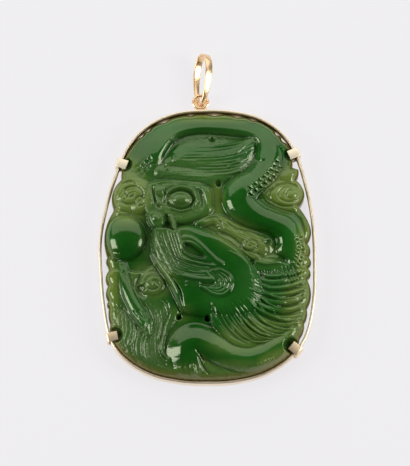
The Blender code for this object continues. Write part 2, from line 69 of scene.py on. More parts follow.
def smooth_path(points: np.ndarray, steps: int = 8, closed: bool = False) -> np.ndarray:
    """Runs a smooth curve through rows of numbers, smoothing every column alike.

    Args:
        points: The rows to run through.
        steps: How many stations lie between one row and the next.
        closed: Whether the curve returns to its start.

    Returns:
        The rows of the curve.
    """
    p = np.asarray(points, float)
    if closed:
        p = np.vstack([p[-1], p, p[:2]])
    else:
        p = np.vstack([2 * p[0] - p[1], p, 2 * p[-1] - p[-2]])
    u = (np.arange(steps) / steps)[:, None]
    parts = [
        0.5 * (2 * b + (c - a) * u + (2 * a - 5 * b + 4 * c - d) * u**2 + (3 * b - a - 3 * c + d) * u**3)
        for a, b, c, d in zip(p[:-3], p[1:-2], p[2:-1], p[3:])
    ]
    if not closed:
        parts.append(p[-2][None])
    return np.vstack(parts)


def spread_paths(guides: tuple[Path2, ...], count: int) -> np.ndarray:
    """Spreads smooth paths evenly across guide lines.

    Args:
        guides: The guide lines, each with the same number of points.
        count: How many paths are wanted.

    Returns:
        An array of paths, stations and x, y.
    """
    lines = np.array([smooth_path(np.array(guide), 6) for guide in guides])
    flat = smooth_path(lines.reshape(len(lines), -1), 12)
    at = np.linspace(0, len(flat) - 1, count)
    low = np.floor(at).astype(int)
    high = np.minimum(low + 1, len(flat) - 1)
    rows = flat[low] + (flat[high] - flat[low]) * (at - low)[:, None]
    return rows.reshape(count, -1, 2)


class Relief:
    """The height of the carved face over a set of points of the drawing, in millimetres."""

    ground_height: float = 2.6
    crown: float = 2.4
    crown_half_width: float = 24.0
    crown_half_height: float = 28.5

    def __init__(self, x: np.ndarray, y: np.ndarray) -> None:
        """Starts with the bare crowned plaque.

        Args:
            x: The points' places across the drawing.
            y: The points' places up the drawing.
        """
        self.x = x
        self.y = y
        dome = 1 - (x / self.crown_half_width) ** 2 - (y / self.crown_half_height) ** 4
        self.ground = self.ground_height + self.crown * dome
        self.height = np.zeros_like(x)
        self.olive = np.zeros_like(x)
        self.frost = np.zeros_like(x)
        # Where the gold band's warm reflection is painted on the stone near its edge.
        self.rim = np.zeros_like(x)

    def near(self, path: np.ndarray, reach: float) -> np.ndarray:
        """Finds the points in the box round a path.

        Args:
            path: The path's rows, x and y first.
            reach: How far beyond the path the box goes.

        Returns:
            The indices of the points.
        """
        low = path[:, :2].min(0) - reach
        high = path[:, :2].max(0) + reach
        inside = (self.x > low[0]) & (self.x < high[0]) & (self.y > low[1]) & (self.y < high[1])
        return np.flatnonzero(inside)

    def measure(self, index: np.ndarray, path: np.ndarray) -> tuple[np.ndarray, ...]:
        """Measures points against a path.

        Args:
            index: The points' indices.
            path: The path's rows, x and y first.

        Returns:
            The distances, the path's values there, the side (positive on the left) and the share of the
            length.
        """
        x, y = self.x[index], self.y[index]
        best = np.full(x.shape, np.inf)
        values = np.zeros((len(x), path.shape[1]))
        side = np.zeros(x.shape)
        share = np.zeros(x.shape)
        steps = len(path) - 1
        for i in range(steps):
            a, b = path[i], path[i + 1]
            dx, dy = b[0] - a[0], b[1] - a[1]
            t = np.clip(((x - a[0]) * dx + (y - a[1]) * dy) / max(dx * dx + dy * dy, 1e-9), 0, 1)
            d = np.hypot(x - a[0] - t * dx, y - a[1] - t * dy)
            closer = d < best
            best[closer] = d[closer]
            values[closer] = a + (b - a) * t[closer, None]
            side[closer] = (dx * (y - a[1]) - dy * (x - a[0]))[closer]
            share[closer] = (i + t[closer]) / steps
        return best, values, side, share

    def engrave(self, path: np.ndarray, width: float, depth: float, fade: float = 0.15) -> None:
        """Cuts a round groove along a path, or raises a ridge where depth is negative.

        Args:
            path: The path's rows, x and y first.
            width: Half the groove's width.
            depth: The groove's depth.
            fade: The share of the length over which it fades at each end.
        """
        index = self.near(path, 2.5 * width)
        distance, _, _, share = self.measure(index, path)
        ends = np.clip(np.minimum(share, 1 - share) / fade, 0, 1) ** 0.5
        self.height[index] -= depth * ends * np.exp(-((distance / width) ** 2))

    def oval(self, x: float, y: float, half_width: float, half_height: float, turn: float) -> np.ndarray:
        """Measures the points against an oval.

        Args:
            x: The oval's middle across the drawing.
            y: Its middle up the drawing.
            half_width: Half its width.
            half_height: Half its height.
            turn: How far it is turned, in degrees.

        Returns:
            How far out each point lies, 1 on the oval's edge.
        """
        a = np.radians(turn)
        dx, dy = self.x - x, self.y - y
        along = (dx * np.cos(a) + dy * np.sin(a)) / half_width
        over = (dy * np.cos(a) - dx * np.sin(a)) / half_height
        return np.hypot(along, over)

    def lift(self, index: np.ndarray, height: np.ndarray) -> None:
        """Raises the points of an index to a height each, where they aren't higher already."""
        self.height[index] = np.maximum(self.height[index], height)

    def surface(self) -> np.ndarray:
        """The carved height over the drawing."""
        return self.ground + self.height


class Form(ABC):
    """One stroke of the carver's tools."""

    @abstractmethod
    def carve(self, relief: Relief) -> None:
        """Adds the form to a relief."""


@dataclass(frozen=True)
class Roll(Form):
    """A rounded band: rows of x, y, half width and height, or x, y, left, right and height.

    A larger full keeps the band flat further out; right_full, where given, holds for its right side.
    """

    rows: tuple[Row, ...]
    full: float = 2.4
    fall: float = 0.75
    right_full: float = 0.0

    def carve(self, relief: Relief) -> None:
        """Raises the band.

        Args:
            relief: The relief to change.
        """
        path = smooth_path(np.array(self.rows))
        index = relief.near(path, path[:, 2:-1].max() + 0.1)
        distance, values, side, _ = relief.measure(index, path)
        width = np.where(side > 0, values[:, 2], values[:, -2])
        u = np.clip(distance / np.maximum(width, 1e-3), 0, 1)
        full = np.where(side > 0, self.full, self.right_full or self.full)
        relief.lift(index, values[:, -1] * (1 - u**full) ** self.fall)


@dataclass(frozen=True)
class Locks(Form):
    """Narrow bands side by side across guide lines, thin at both ends."""

    guides: tuple[Path2, ...]
    count: int
    width: float
    height: float
    full: float = 2.0
    fall: float = 0.7

    def carve(self, relief: Relief) -> None:
        """Raises the locks.

        Args:
            relief: The relief to change.
        """
        for path in spread_paths(self.guides, self.count):
            t = np.linspace(0.05, 0.95, len(path))
            taper = np.sin(np.pi * t) ** 0.5
            rows = np.column_stack([path, self.width * taper, self.height * taper])
            index = relief.near(rows, self.width + 0.1)
            distance, values, _, _ = relief.measure(index, rows)
            u = np.clip(distance / np.maximum(values[:, 2], 1e-3), 0, 1)
            relief.lift(index, values[:, 3] * (1 - u**self.full) ** self.fall)


@dataclass(frozen=True)
class Dome(Form):
    """An oval dome, turned by some degrees."""

    x: float
    y: float
    half_width: float
    half_height: float
    height: float
    turn: float = 0.0
    full: float = 2.0
    fall: float = 0.6

    def share(self, relief: Relief) -> np.ndarray:
        """How far out each point of a relief lies, 1 on the oval's edge."""
        return relief.oval(self.x, self.y, self.half_width, self.half_height, self.turn)

    def carve(self, relief: Relief) -> None:
        """Raises the dome on a relief."""
        u = np.clip(self.share(relief), 0, 1)
        relief.height = np.maximum(relief.height, self.height * (1 - u**self.full) ** self.fall)


@dataclass(frozen=True)
class Ring(Dome):
    """An oval groove round a dome, or a raised rim where depth is negative."""

    width: float = 0.25
    depth: float = 0.3

    def carve(self, relief: Relief) -> None:
        """Cuts the oval groove into a relief."""
        away = (self.share(relief) - 1) * (self.half_width + self.half_height) / 2
        relief.height = relief.height - self.depth * np.exp(-((away / self.width) ** 2))


@dataclass(frozen=True)
class Table(Form):
    """A raised table inside a smooth outline of x, y and edge rounding, tilted if wanted."""

    outline: tuple[Row, ...]
    height: float
    lean: tuple[float, float] = (0.0, 0.0)

    def carve(self, relief: Relief) -> None:
        """Raises the table, or sinks a hollow where the height is negative.

        Args:
            relief: The relief to change.
        """
        line = smooth_path(np.array(self.outline), 6, closed=True)
        ring = np.vstack([line, line[:1]])
        index = relief.near(ring, 0.1)
        x, y = relief.x[index], relief.y[index]
        crossings = np.zeros(len(index), int)
        for a, b in zip(ring[:-1], ring[1:]):
            spans = (a[1] > y) != (b[1] > y)
            at = a[0] + (y - a[1]) / (b[1] - a[1] + 1e-12) * (b[0] - a[0])
            crossings += spans & (x < at)
        index = index[crossings % 2 == 1]
        distance, values, _, _ = relief.measure(index, ring)
        u = np.clip(distance / np.maximum(values[:, 2], 1e-3), 0, 1)
        edge = np.sqrt(1 - (1 - u) ** 2)
        middle = line.mean(0)
        dx, dy = relief.x[index] - middle[0], relief.y[index] - middle[1]
        top = self.height + self.lean[0] * dx + self.lean[1] * dy
        if self.height > 0:
            relief.lift(index, top * edge)
        else:
            relief.height[index] += top * edge


@dataclass(frozen=True)
class Cut(Form):
    """A groove along a smooth line, or a ridge where the depth is negative."""

    line: Path2
    width: float = 0.22
    depth: float = 0.3
    fade: float = 0.15

    def carve(self, relief: Relief) -> None:
        """Cuts the groove into a relief."""
        relief.engrave(smooth_path(np.array(self.line)), self.width, self.depth, self.fade)


@dataclass(frozen=True)
class Ridge(Form):
    """A narrow raised line."""

    line: Path2
    width: float = 0.22
    height: float = 0.28
    fade: float = 0.3

    def carve(self, relief: Relief) -> None:
        """Raises the line on a relief."""
        relief.engrave(smooth_path(np.array(self.line)), self.width, -self.height, self.fade)


@dataclass(frozen=True)
class Comb(Form):
    """Fine grooves spread across guide lines, uneven as a hand cuts them."""

    guides: tuple[Path2, ...]
    count: int
    width: float = 0.2
    depth: float = 0.25
    seed: int = 1
    fade: float = 0.15
    wander: float = 0.08
    stagger: float = 0.18
    weights: tuple[float, float] = (0.6, 1.25)

    def carve(self, relief: Relief) -> None:
        """Cuts the grooves.

        Args:
            relief: The relief to change.
        """
        hand = np.random.default_rng(self.seed)
        for path in spread_paths(self.guides, self.count):
            aside = hand.uniform(-self.wander, self.wander, 2)
            start = int(hand.uniform(0, self.stagger) * len(path))
            stop = len(path) - int(hand.uniform(0, self.stagger) * len(path))
            depth = self.depth * hand.uniform(*self.weights)
            relief.engrave(path[start:stop] + aside, self.width, depth, self.fade)


@dataclass(frozen=True)
class Scales(Form):
    """A band of small pointed facets that all lean the same way, as a carver marks a dragon's scales.

    The gaps between them lie nearly level, a little deeper. Facet and gap give their share of the lean and
    how far they are raised.
    """

    line: Path2
    half_width: float
    pitch: float
    lean: tuple[float, float] = (-0.58, 0.23)
    rows: int = 2
    point: float = 0.74
    facet: tuple[float, float] = (1.0, 0.06)
    gap: tuple[float, float] = (0.1, -0.08)

    def carve(self, relief: Relief) -> None:
        """Cuts the facets.

        Args:
            relief: The relief to change.
        """
        path = smooth_path(np.array(self.line), 8)
        index = relief.near(path, self.half_width * 1.3)
        distance, _, side, share = relief.measure(index, path)
        along = share * np.linalg.norm(np.diff(path, axis=0), axis=1).sum() / self.pitch
        across = (1 + distance * np.sign(side) / self.half_width) / 2 * self.rows
        row = np.floor(across)
        rise = across - row
        step = np.floor(along + 0.5 * (row % 2))
        middle = np.abs(along + 0.5 * (row % 2) - step - 0.5) * 2
        pointed = middle < self.point * (1 - rise)
        inside = (distance < self.half_width) & (share > 0.01) & (share < 0.99)
        x, y = relief.x[index], relief.y[index]
        for cell in set(zip(step[inside], row[inside])):
            here = inside & (step == cell[0]) & (row == cell[1])
            for chosen, (lean, lift) in ((here & pointed, self.facet), (here & ~pointed, self.gap)):
                face = np.flatnonzero(chosen)
                if len(face) > 3:
                    level = (relief.ground + relief.height)[index[face]]
                    dx, dy = x[face] - x[face].mean(), y[face] - y[face].mean()
                    plane = lean * (self.lean[0] * dx + self.lean[1] * dy)
                    relief.height[index[face]] += level.mean() + lift + plane - level


@dataclass(frozen=True)
class Volute(Form):
    """A spiral groove that winds in to a centre."""

    x: float
    y: float
    radius: float
    turns: float
    start: float
    width: float = 0.3
    depth: float = 0.35
    squash: float = 1.0
    wound: float = 0.85

    def carve(self, relief: Relief) -> None:
        """Cuts the spiral.

        Args:
            relief: The relief to change.
        """
        t = np.linspace(0, 1, int(14 * abs(self.turns)) + 2)
        a = np.radians(self.start) + 2 * np.pi * self.turns * t
        r = self.radius * (1 - self.wound * t)
        path = np.column_stack([self.x + r * np.cos(a), self.y + self.squash * r * np.sin(a)])
        relief.engrave(path, self.width, self.depth)


@dataclass(frozen=True)
class Pit(Form):
    """A round blind hole."""

    x: float
    y: float
    radius: float
    depth: float

    def carve(self, relief: Relief) -> None:
        """Drills the hole into a relief."""
        away = np.hypot(relief.x - self.x, relief.y - self.y)
        relief.height = relief.height - self.depth * np.exp(-((away / self.radius) ** 6))


@dataclass(frozen=True)
class Tone(Form):
    """A soft oval of olive stone or of finely worked, less polished stone, or of less where negative."""

    x: float
    y: float
    half_width: float
    half_height: float
    olive: float = 0.0
    frost: float = 0.0
    turn: float = 0.0
    softness: float = 7.0

    def carve(self, relief: Relief) -> None:
        """Tints the points and changes no height.

        Args:
            relief: The relief to change.
        """
        u = relief.oval(self.x, self.y, self.half_width, self.half_height, self.turn)
        soft = 1 / (1 + np.exp((u - 1) * self.softness))
        if self.olive > 0:
            relief.olive = np.maximum(relief.olive, self.olive * soft)
        else:
            relief.olive = relief.olive * (1 + self.olive * soft)
        if self.frost > 0:
            relief.frost = np.maximum(relief.frost, self.frost * soft)
        else:
            relief.frost = relief.frost * (1 + self.frost * soft)


@dataclass(frozen=True)
class Region:
    """A part of the carving, as forms cut one after another."""

    forms: tuple[Form, ...] = ()

    def strokes(self) -> tuple[Form, ...]:
        """The forms in the order in which they are cut."""
        return self.forms

    def carve(self, relief: Relief) -> None:
        """Cuts every form into a relief."""
        for form in self.strokes():
            form.carve(relief)


@dataclass(frozen=True)
class Clouds(Region):
    """The scrolled clouds beside and between the dragon's coils."""

    forms: tuple[Form, ...] = (
        Dome(-15.2, 11.6, 4.6, 3.6, 1.3, full=2.6),
        Dome(-17.2, 9.0, 2.6, 2.4, 1.0),
        Dome(-13.4, 9.4, 2.6, 2.3, 1.4),
        Dome(-16.0, 14.6, 2.6, 1.6, 0.8),
        Volute(-15.2, 11.4, 3.2, 1.4, 200, 0.3, 0.35, 0.8),
        Volute(-13.4, 9.5, 1.6, 1.2, 20, 0.22, 0.3, 0.9),
        Cut(((-19.0, 9.6), (-17.6, 7.9), (-15.4, 7.6)), 0.25, 0.3),
        Cut(((-17.6, 13.2), (-15.6, 13.9), (-13.8, 13.2)), 0.25, 0.3),
        Dome(15.9, 10.9, 4.9, 3.2, 1.3, turn=-8, full=2.6),
        Dome(17.0, 11.0, 2.5, 1.9, 1.6),
        Dome(17.0, 15.4, 2.6, 1.6, 0.9, turn=20),
        Dome(18.2, 13.4, 1.4, 1.2, 0.9),
        Ring(16.8, 11.2, 1.1, 0.9, 0, width=0.2, depth=0.2),
        Ring(16.4, 11.2, 2.2, 1.6, 0, width=0.24, depth=0.28),
        Ring(15.8, 11.1, 3.5, 2.3, 0, width=0.26, depth=0.3),
        Cut(((12.6, 13.4), (11.0, 12.6), (10.4, 11.0), (11.0, 9.6), (12.4, 8.6)), 0.28, 0.35),
        Cut(((13.6, 12.5), (12.2, 11.9), (11.7, 10.8), (12.6, 9.6)), 0.2, 0.25),
        Cut(((13.2, 13.0), (16.0, 13.6), (18.8, 12.6)), 0.25, 0.3),
        Cut(((13.8, 9.2), (16.4, 8.7), (18.6, 9.4)), 0.25, 0.25),
        Roll(((19.4, 7.2, 0.9, 0.8), (20.3, 4.6, 1.4, 0.9), (20.3, 1.0, 1.1, 0.8))),
        Roll(((-1.9, 5.2, 1.0, 1.2), (1.4, 6.1, 1.2, 1.3), (4.0, 4.6, 1.8, 1.3), (7.5, 2.2, 2.4, 1.3),
              (11.0, 0.6, 2.2, 1.2))),
        Roll(((2.2, 2.6, 0.8, 1.2), (4.6, 1.6, 1.2, 1.3), (7.4, -0.4, 1.3, 1.2), (10.0, -2.0, 1.0, 0.9))),
        Dome(8.6, 0.9, 2.6, 2.2, 1.7, turn=-20),
        Volute(8.6, 0.9, 2.0, 1.5, 150, 0.22, 0.32, 0.85),
        Cut(((-0.8, 5.5), (1.3, 6.5), (2.5, 5.5), (3.2, 4.2)), 0.22, 0.3),
        Cut(((3.4, 6.0), (5.6, 4.0), (8.6, 3.6), (11.0, 2.8)), 0.24, 0.3),
        Cut(((2.6, 3.6), (4.6, 2.6), (6.2, 1.2), (6.6, -0.6)), 0.24, 0.3),
        Cut(((10.4, 2.2), (12.0, 0.2), (11.6, -1.4)), 0.22, 0.3),
        Comb((((-1.6, 5.7), (1.6, 6.4), (4.4, 4.8), (8.4, 3.1), (11.2, 1.8)),
              ((1.8, 2.8), (4.2, 2.2), (6.2, 0.6), (8.6, -1.2), (10.4, -1.8))), 9, 0.13, 0.16, 41),
        Comb((((-19.6, 10.0), (-17.4, 13.4), (-13.6, 14.2)), ((-16.8, 9.6), (-15.6, 11.2), (-13.4, 11.8))),
             5, 0.14, 0.16, 43),
        Pit(12.0, 1.3, 0.6, 1.2),
    )


@dataclass(frozen=True)
class Coils(Region):
    """The dragon's body: an arch over the head and an S down the right side."""

    forms: tuple[Form, ...] = (
        Roll((
            (-12.2, 15.4, 4.0, 2.4, 0.5), (-11.3, 17.2, 4.6, 2.0, 1.2), (-10.3, 19.0, 5.2, 1.7, 1.75),
            (-9.2, 20.7, 5.6, 1.4, 1.95), (-7.7, 22.5, 5.4, 1.1, 2.0), (-5.6, 24.1, 4.8, 1.1, 2.0),
            (-2.8, 24.8, 4.4, 1.1, 1.95), (0.0, 25.0, 4.2, 1.2, 1.95), (4.5, 24.7, 4.4, 1.3, 1.95),
            (8.4, 24.0, 4.8, 1.2, 2.0), (10.4, 22.6, 5.2, 1.3, 2.05), (11.4, 20.4, 4.6, 2.0, 2.1),
            (11.4, 18.4, 3.6, 2.2, 2.1),
        ), 1.8, 1.0),
        Roll((
            (11.2, 22.4, 3.7, 1.8, 1.8), (12.7, 19.7, 2.8, 3.5, 2.1), (12.4, 16.9, 2.1, 3.8, 2.35),
            (10.5, 14.4, 2.1, 3.8, 2.55), (8.2, 12.2, 2.3, 4.4, 2.65), (7.0, 10.4, 3.2, 4.3, 2.4),
            (8.0, 8.2, 3.0, 3.0, 1.8),
        ), 1.9, 0.95),
        Roll((
            (10.4, 14.4, 1.8, 3.2, 2.0), (8.2, 12.2, 2.3, 4.3, 2.6), (7.0, 10.4, 3.2, 4.3, 2.65),
            (8.0, 8.2, 3.6, 3.8, 2.6), (10.2, 6.4, 3.6, 2.7, 2.55), (12.8, 5.3, 3.6, 2.1, 2.5),
            (15.2, 4.0, 3.8, 2.6, 2.4), (16.7, 2.2, 3.2, 3.4, 2.3), (17.4, 0.0, 2.4, 3.9, 2.1),
            (17.6, -2.0, 1.9, 2.4, 1.7), (17.2, -4.2, 1.5, 1.5, 1.0),
        ), 2.1, 0.85, 3.3),
        Scales(((15.0, 18.4), (13.2, 15.6), (10.9, 13.4), (8.0, 11.0)), 0.95, 1.2),
        Scales(((18.2, 2.6), (18.7, 0.4), (18.4, -1.6), (17.6, -3.4)), 0.95, 0.8),
        Scales(((-11.0, 18.4), (-12.4, 17.2), (-13.8, 15.6)), 1.0, 0.9, (0.3, 0.2)),
    )


@dataclass(frozen=True)
class Mane(Region):
    """The locks of the mane inside the arch."""

    strands: tuple[Path2, ...] = (
        ((9.6, 22.8), (6.4, 21.8), (1.6, 21.0), (-4.6, 20.6)),
        ((9.3, 21.4), (6.4, 19.9), (2.0, 19.0), (-5.0, 18.8)),
        ((9.0, 19.6), (6.4, 17.8), (2.6, 17.2), (-5.2, 17.2)),
        ((8.0, 17.4), (5.4, 15.8), (1.6, 15.2), (-6.4, 15.2)),
    )
    forms: tuple[Form, ...] = (
        Roll((
            (-7.6, 17.8, 1.8, 1.1), (-4.4, 18.9, 3.8, 1.4), (0.0, 19.2, 4.3, 1.5), (4.6, 19.5, 4.0, 1.6),
            (7.6, 20.8, 2.8, 1.6), (9.6, 23.0, 1.0, 1.5),
        ), 2.2, 1.0),
        Roll((
            (-9.6, 16.2, 1.8, 1.15), (-6.0, 15.5, 2.4, 1.3), (-1.5, 14.9, 2.5, 1.35), (2.6, 15.3, 2.2, 1.3),
            (5.4, 16.6, 1.6, 1.3), (7.6, 19.0, 1.1, 1.2),
        ), 2.0, 1.0),
    )

    def strokes(self) -> tuple[Form, ...]:
        """Lists the forms, some of them along the guide lines.

        Returns:
            The forms in the order in which they are cut.
        """
        return self.forms + (
            Locks(self.strands, 10, 0.56, 1.56),
            Comb(self.strands, 22, 0.12, 0.13, 31),
            Ridge(((5.2, 19.2), (6.4, 20.2), (7.7, 21.4)), 0.2, 0.3, 0.2),
            Ridge(((4.0, 16.8), (5.8, 17.7), (6.6, 18.2)), 0.24, 0.35, 0.2),
            Ridge(((-6.6, 19.6), (-6.9, 18.7), (-6.5, 17.9)), 0.3, 0.4, 0.2),
            Dome(-8.1, 16.5, 1.0, 0.8, 1.5),
        )


@dataclass(frozen=True)
class Head(Region):
    """The head: brow, eye, nose and the folds round them."""

    forms: tuple[Form, ...] = (
        Table((
            (-12.4, 12.6, 1.0), (-10.4, 14.2, 1.0), (-6.0, 14.4, 1.0), (-1.6, 13.9, 1.2), (1.0, 12.2, 1.2),
            (1.6, 9.6, 1.2), (0.8, 7.2, 1.2), (-1.8, 5.8, 1.0), (-5.6, 5.0, 0.8), (-9.0, 5.4, 0.6),
            (-12.4, 7.4, 0.6),
        ), 1.5),
        Dome(-9.4, 11.8, 2.2, 2.0, 2.0),
        Dome(-9.9, 9.2, 1.6, 1.4, 1.7),
        Dome(-5.4, 10.2, 4.2, 3.3, 1.9, full=3.0),
        Roll(((-8.2, 9.2, 0.55, 1.9), (-7.9, 11.2, 0.7, 2.15), (-5.6, 12.5, 0.75, 2.25),
              (-3.1, 11.9, 0.75, 2.2), (-2.2, 10.2, 0.6, 2.1), (-2.7, 8.8, 0.5, 1.9))),
        Roll(((-1.9, 12.5, 0.6, 1.8), (-0.6, 11.6, 0.8, 1.9), (0.0, 10.0, 0.8, 1.8), (0.2, 8.3, 0.6, 1.6))),
        Ring(-5.4, 10.0, 2.7, 1.9, 0, width=0.3, depth=0.5),
        Dome(-5.4, 10.0, 2.5, 1.75, 2.5, full=2.4, fall=0.55),
        Roll(((-7.4, 8.2, 0.4, 1.8), (-5.4, 7.6, 0.5, 1.9), (-3.2, 8.1, 0.4, 1.8))),
        Cut(((-8.6, 12.4), (-8.4, 10.6), (-8.8, 9.2)), 0.3, 0.4),
        Cut(((-11.0, 12.9), (-10.7, 11.0), (-10.3, 9.2), (-9.2, 8.2)), 0.22, 0.4),
        Ridge(((-11.3, 11.8), (-10.9, 10.0), (-11.0, 8.9)), 0.25, 0.35),
        Ridge(((-10.4, 12.3), (-10.3, 10.7), (-9.7, 9.4)), 0.22, 0.3),
        Cut(((-1.6, 12.9), (-1.4, 11.4), (-1.1, 9.6), (-1.3, 8.0)), 0.25, 0.35),
        Cut(((1.4, 12.8), (1.2, 10.4), (1.3, 8.2)), 0.7, 0.9),
        Comb((((-10.6, 14.0), (-7.4, 15.0), (-3.6, 14.6), (1.0, 14.4)),
              ((-10.6, 13.0), (-7.4, 13.4), (-3.6, 13.2), (0.8, 12.9))), 5, 0.16, 0.25, 3),
        Table(((-12.2, 6.8, 0.9), (-10.8, 8.0, 0.9), (-8.8, 7.2, 0.9), (-8.2, 5.4, 0.9), (-9.2, 4.0, 0.6),
               (-11.0, 4.2, 0.6)), 2.3),
        Dome(-10.3, 6.0, 1.8, 1.7, 2.6),
        Cut(((-8.3, 7.0), (-8.0, 5.2), (-7.6, 3.2)), 0.4, 0.7),
        Roll(((-7.3, 6.6, 0.6, 1.7), (-6.7, 4.8, 0.8, 2.0), (-6.2, 3.0, 0.7, 2.1), (-5.4, 1.0, 0.5, 2.2))),
    )


@dataclass(frozen=True)
class Pearl(Region):
    """The flaming pearl at the left edge."""

    forms: tuple[Form, ...] = (
        Dome(-16.6, 2.3, 4.4, 4.8, 2.5, full=2.4, fall=0.55),
        Cut(((-20.2, -0.4), (-18.6, -0.8), (-17.2, -1.1)), 0.16, 0.14),
        Cut(((-20.0, -1.3), (-18.6, -1.5), (-17.0, -1.6)), 0.16, 0.12),
    )


@dataclass(frozen=True)
class Neck(Region):
    """The broad neck with the jaw, the open mouth, the whiskers and the curl on it."""

    whiskers: tuple[Path2, ...] = (
        ((-9.6, 3.6), (-7.6, 0.4), (-4.6, -2.4), (-1.0, -3.4), (3.2, -3.8)),
        ((-10.2, 2.0), (-8.4, -0.8), (-5.4, -3.2), (-2.0, -4.3), (1.4, -4.6)),
        ((-10.5, 0.4), (-8.8, -2.4), (-6.2, -4.3), (-2.8, -5.4), (0.6, -5.7)),
        ((-10.5, -1.2), (-8.6, -3.7), (-5.9, -5.5), (-2.4, -6.3), (1.2, -6.6)),
    )

    def strokes(self) -> tuple[Form, ...]:
        """Lists the forms, some of them along the guide lines.

        Returns:
            The forms in the order in which they are cut.
        """
        return (
            Table((
                (-6.4, 4.3, 1.2), (-3.6, 5.0, 1.8), (-0.6, 4.2, 2.2), (2.2, 2.9, 1.6), (4.4, 1.4, 1.2),
                (6.6, -0.4, 1.1), (8.6, -2.6, 1.2), (10.6, -5.4, 2.6), (11.2, -9.4, 3.2), (9.8, -12.8, 3.4),
                (5.6, -14.4, 3.2), (1.2, -14.2, 3.0), (-2.6, -13.6, 2.4), (-5.2, -12.6, 1.4),
                (-5.8, -8.8, 0.8), (-8.6, -4.8, 0.8), (-9.6, -1.0, 0.8), (-8.4, 2.4, 0.8),
            ), 2.55, (0.0, 0.02)),
            Roll(((4.4, -0.9, 0.4, 2.75), (6.2, -1.9, 0.5, 2.75), (8.0, -3.6, 0.4, 2.6))),
            Table((
                (-10.6, 4.0, 0.6), (-8.2, 4.2, 0.6), (-6.4, 3.6, 0.6), (-4.2, 2.4, 0.7), (-1.8, 1.0, 0.7),
                (0.4, -1.2, 0.6), (2.2, -2.8, 0.4), (3.6, -3.8, 0.25), (1.6, -4.2, 0.5), (0.4, -5.0, 0.5),
                (1.6, -6.6, 0.3), (-0.8, -7.0, 0.5), (-4.4, -6.9, 0.6), (-7.2, -6.6, 1.0),
                (-9.4, -4.4, 1.4), (-10.9, -1.0, 1.6), (-11.2, 1.8, 1.4),
            ), 2.7),
            Locks(self.whiskers, 9, 0.55, 2.92),
            Comb(self.whiskers, 16, 0.13, 0.16, 7),
            Comb((((-11.2, 3.8), (-10.6, 1.2), (-8.8, -2.4), (-7.2, -5.4)),
                  ((-7.4, 4.2), (-6.6, 1.4), (-5.6, -1.6), (-4.0, -4.4))), 9, 0.15, 0.24, 47, 0.3),
            Table((
                (-4.7, 0.9, 0.5), (-3.2, 0.6, 0.5), (-1.6, -0.6, 0.5), (-0.4, -2.0, 0.4), (-1.6, -2.3, 0.4),
                (-3.4, -1.7, 0.4), (-4.7, -0.6, 0.4),
            ), -0.8),
            Ridge(((-5.0, 2.0), (-3.2, 1.7), (-1.5, 0.5), (0.2, -1.2), (1.8, -2.7), (3.4, -3.65)),
                  0.32, 0.34, 0.1),
            Ridge(((-5.0, 0.9), (-3.2, 0.9), (-1.3, -0.4), (0.0, -2.0)), 0.22, 0.2),
            Ridge(((-6.0, 3.8), (-5.6, 2.0), (-5.2, 0.4), (-5.0, -0.6)), 0.22, 0.32, 0.15),
            Cut(((-5.0, -0.5), (-4.7, -1.4), (-3.3, -2.3), (-1.0, -2.9), (1.2, -3.3)), 0.2, 0.45),
            Ridge(((-4.6, -2.3), (-3.0, -2.9), (-0.6, -3.5), (2.6, -3.9)), 0.25, 0.2),
            Ridge(((-6.0, -5.6), (-3.0, -6.2), (-0.5, -6.6), (1.2, -6.7)), 0.25, 0.3, 0.2),
            Cut(((-1.6, -7.3), (0.2, -7.5), (1.6, -7.2)), 0.3, 0.4),
            Table((
                (0.2, -4.6, 0.5), (2.2, -4.1, 0.5), (4.2, -5.0, 0.6), (5.3, -7.0, 0.6), (4.6, -9.2, 0.6),
                (2.4, -10.2, 0.6), (0.0, -9.4, 0.6), (-1.9, -7.8, 0.3), (-0.6, -7.7, 0.3), (1.4, -8.0, 0.4),
                (2.0, -6.6, 0.4), (1.2, -5.4, 0.4),
            ), 2.85),
            Ridge(((2.0, -4.5), (3.2, -5.0), (4.5, -5.8), (5.0, -7.2), (4.5, -8.8), (3.4, -9.7),
                   (2.0, -9.9), (0.6, -9.4), (-1.5, -7.8)), 0.18, 0.2, 0.1),
            Cut(((2.2, -4.9), (3.6, -5.6), (4.4, -7.0), (4.0, -8.4), (2.9, -9.3), (1.4, -9.2), (0.2, -8.6)),
                0.18, 0.2, 0.1),
            Cut(((1.6, -5.0), (2.8, -5.9), (3.6, -7.1), (3.2, -8.2), (2.1, -8.8), (0.8, -8.6)),
                0.18, 0.2, 0.1),
            Cut(((0.8, -4.9), (2.2, -6.0), (2.8, -7.2), (2.3, -8.1), (1.2, -8.3)), 0.18, 0.18, 0.1),
            Ridge(((0.2, -4.8), (1.4, -5.4), (2.1, -6.5), (2.1, -7.6)), 0.2, 0.14),
            Ridge(((-4.1, -6.9), (-4.2, -7.2)), 0.2, 0.2),
            Ridge(((-4.2, -7.7), (-4.3, -8.0)), 0.2, 0.2),
            Roll((
                (-10.8, -1.2, 0.4, 0.6, 2.3), (-9.3, -3.6, 0.5, 0.9, 2.6), (-7.7, -5.8, 0.5, 1.1, 2.8),
                (-6.3, -8.0, 0.5, 1.3, 2.85), (-5.6, -9.6, 0.5, 1.3, 2.7), (-5.2, -11.4, 0.5, 0.8, 2.2),
                (-5.0, -12.8, 0.4, 0.4, 1.4),
            ), 2.0, 0.8),
        )


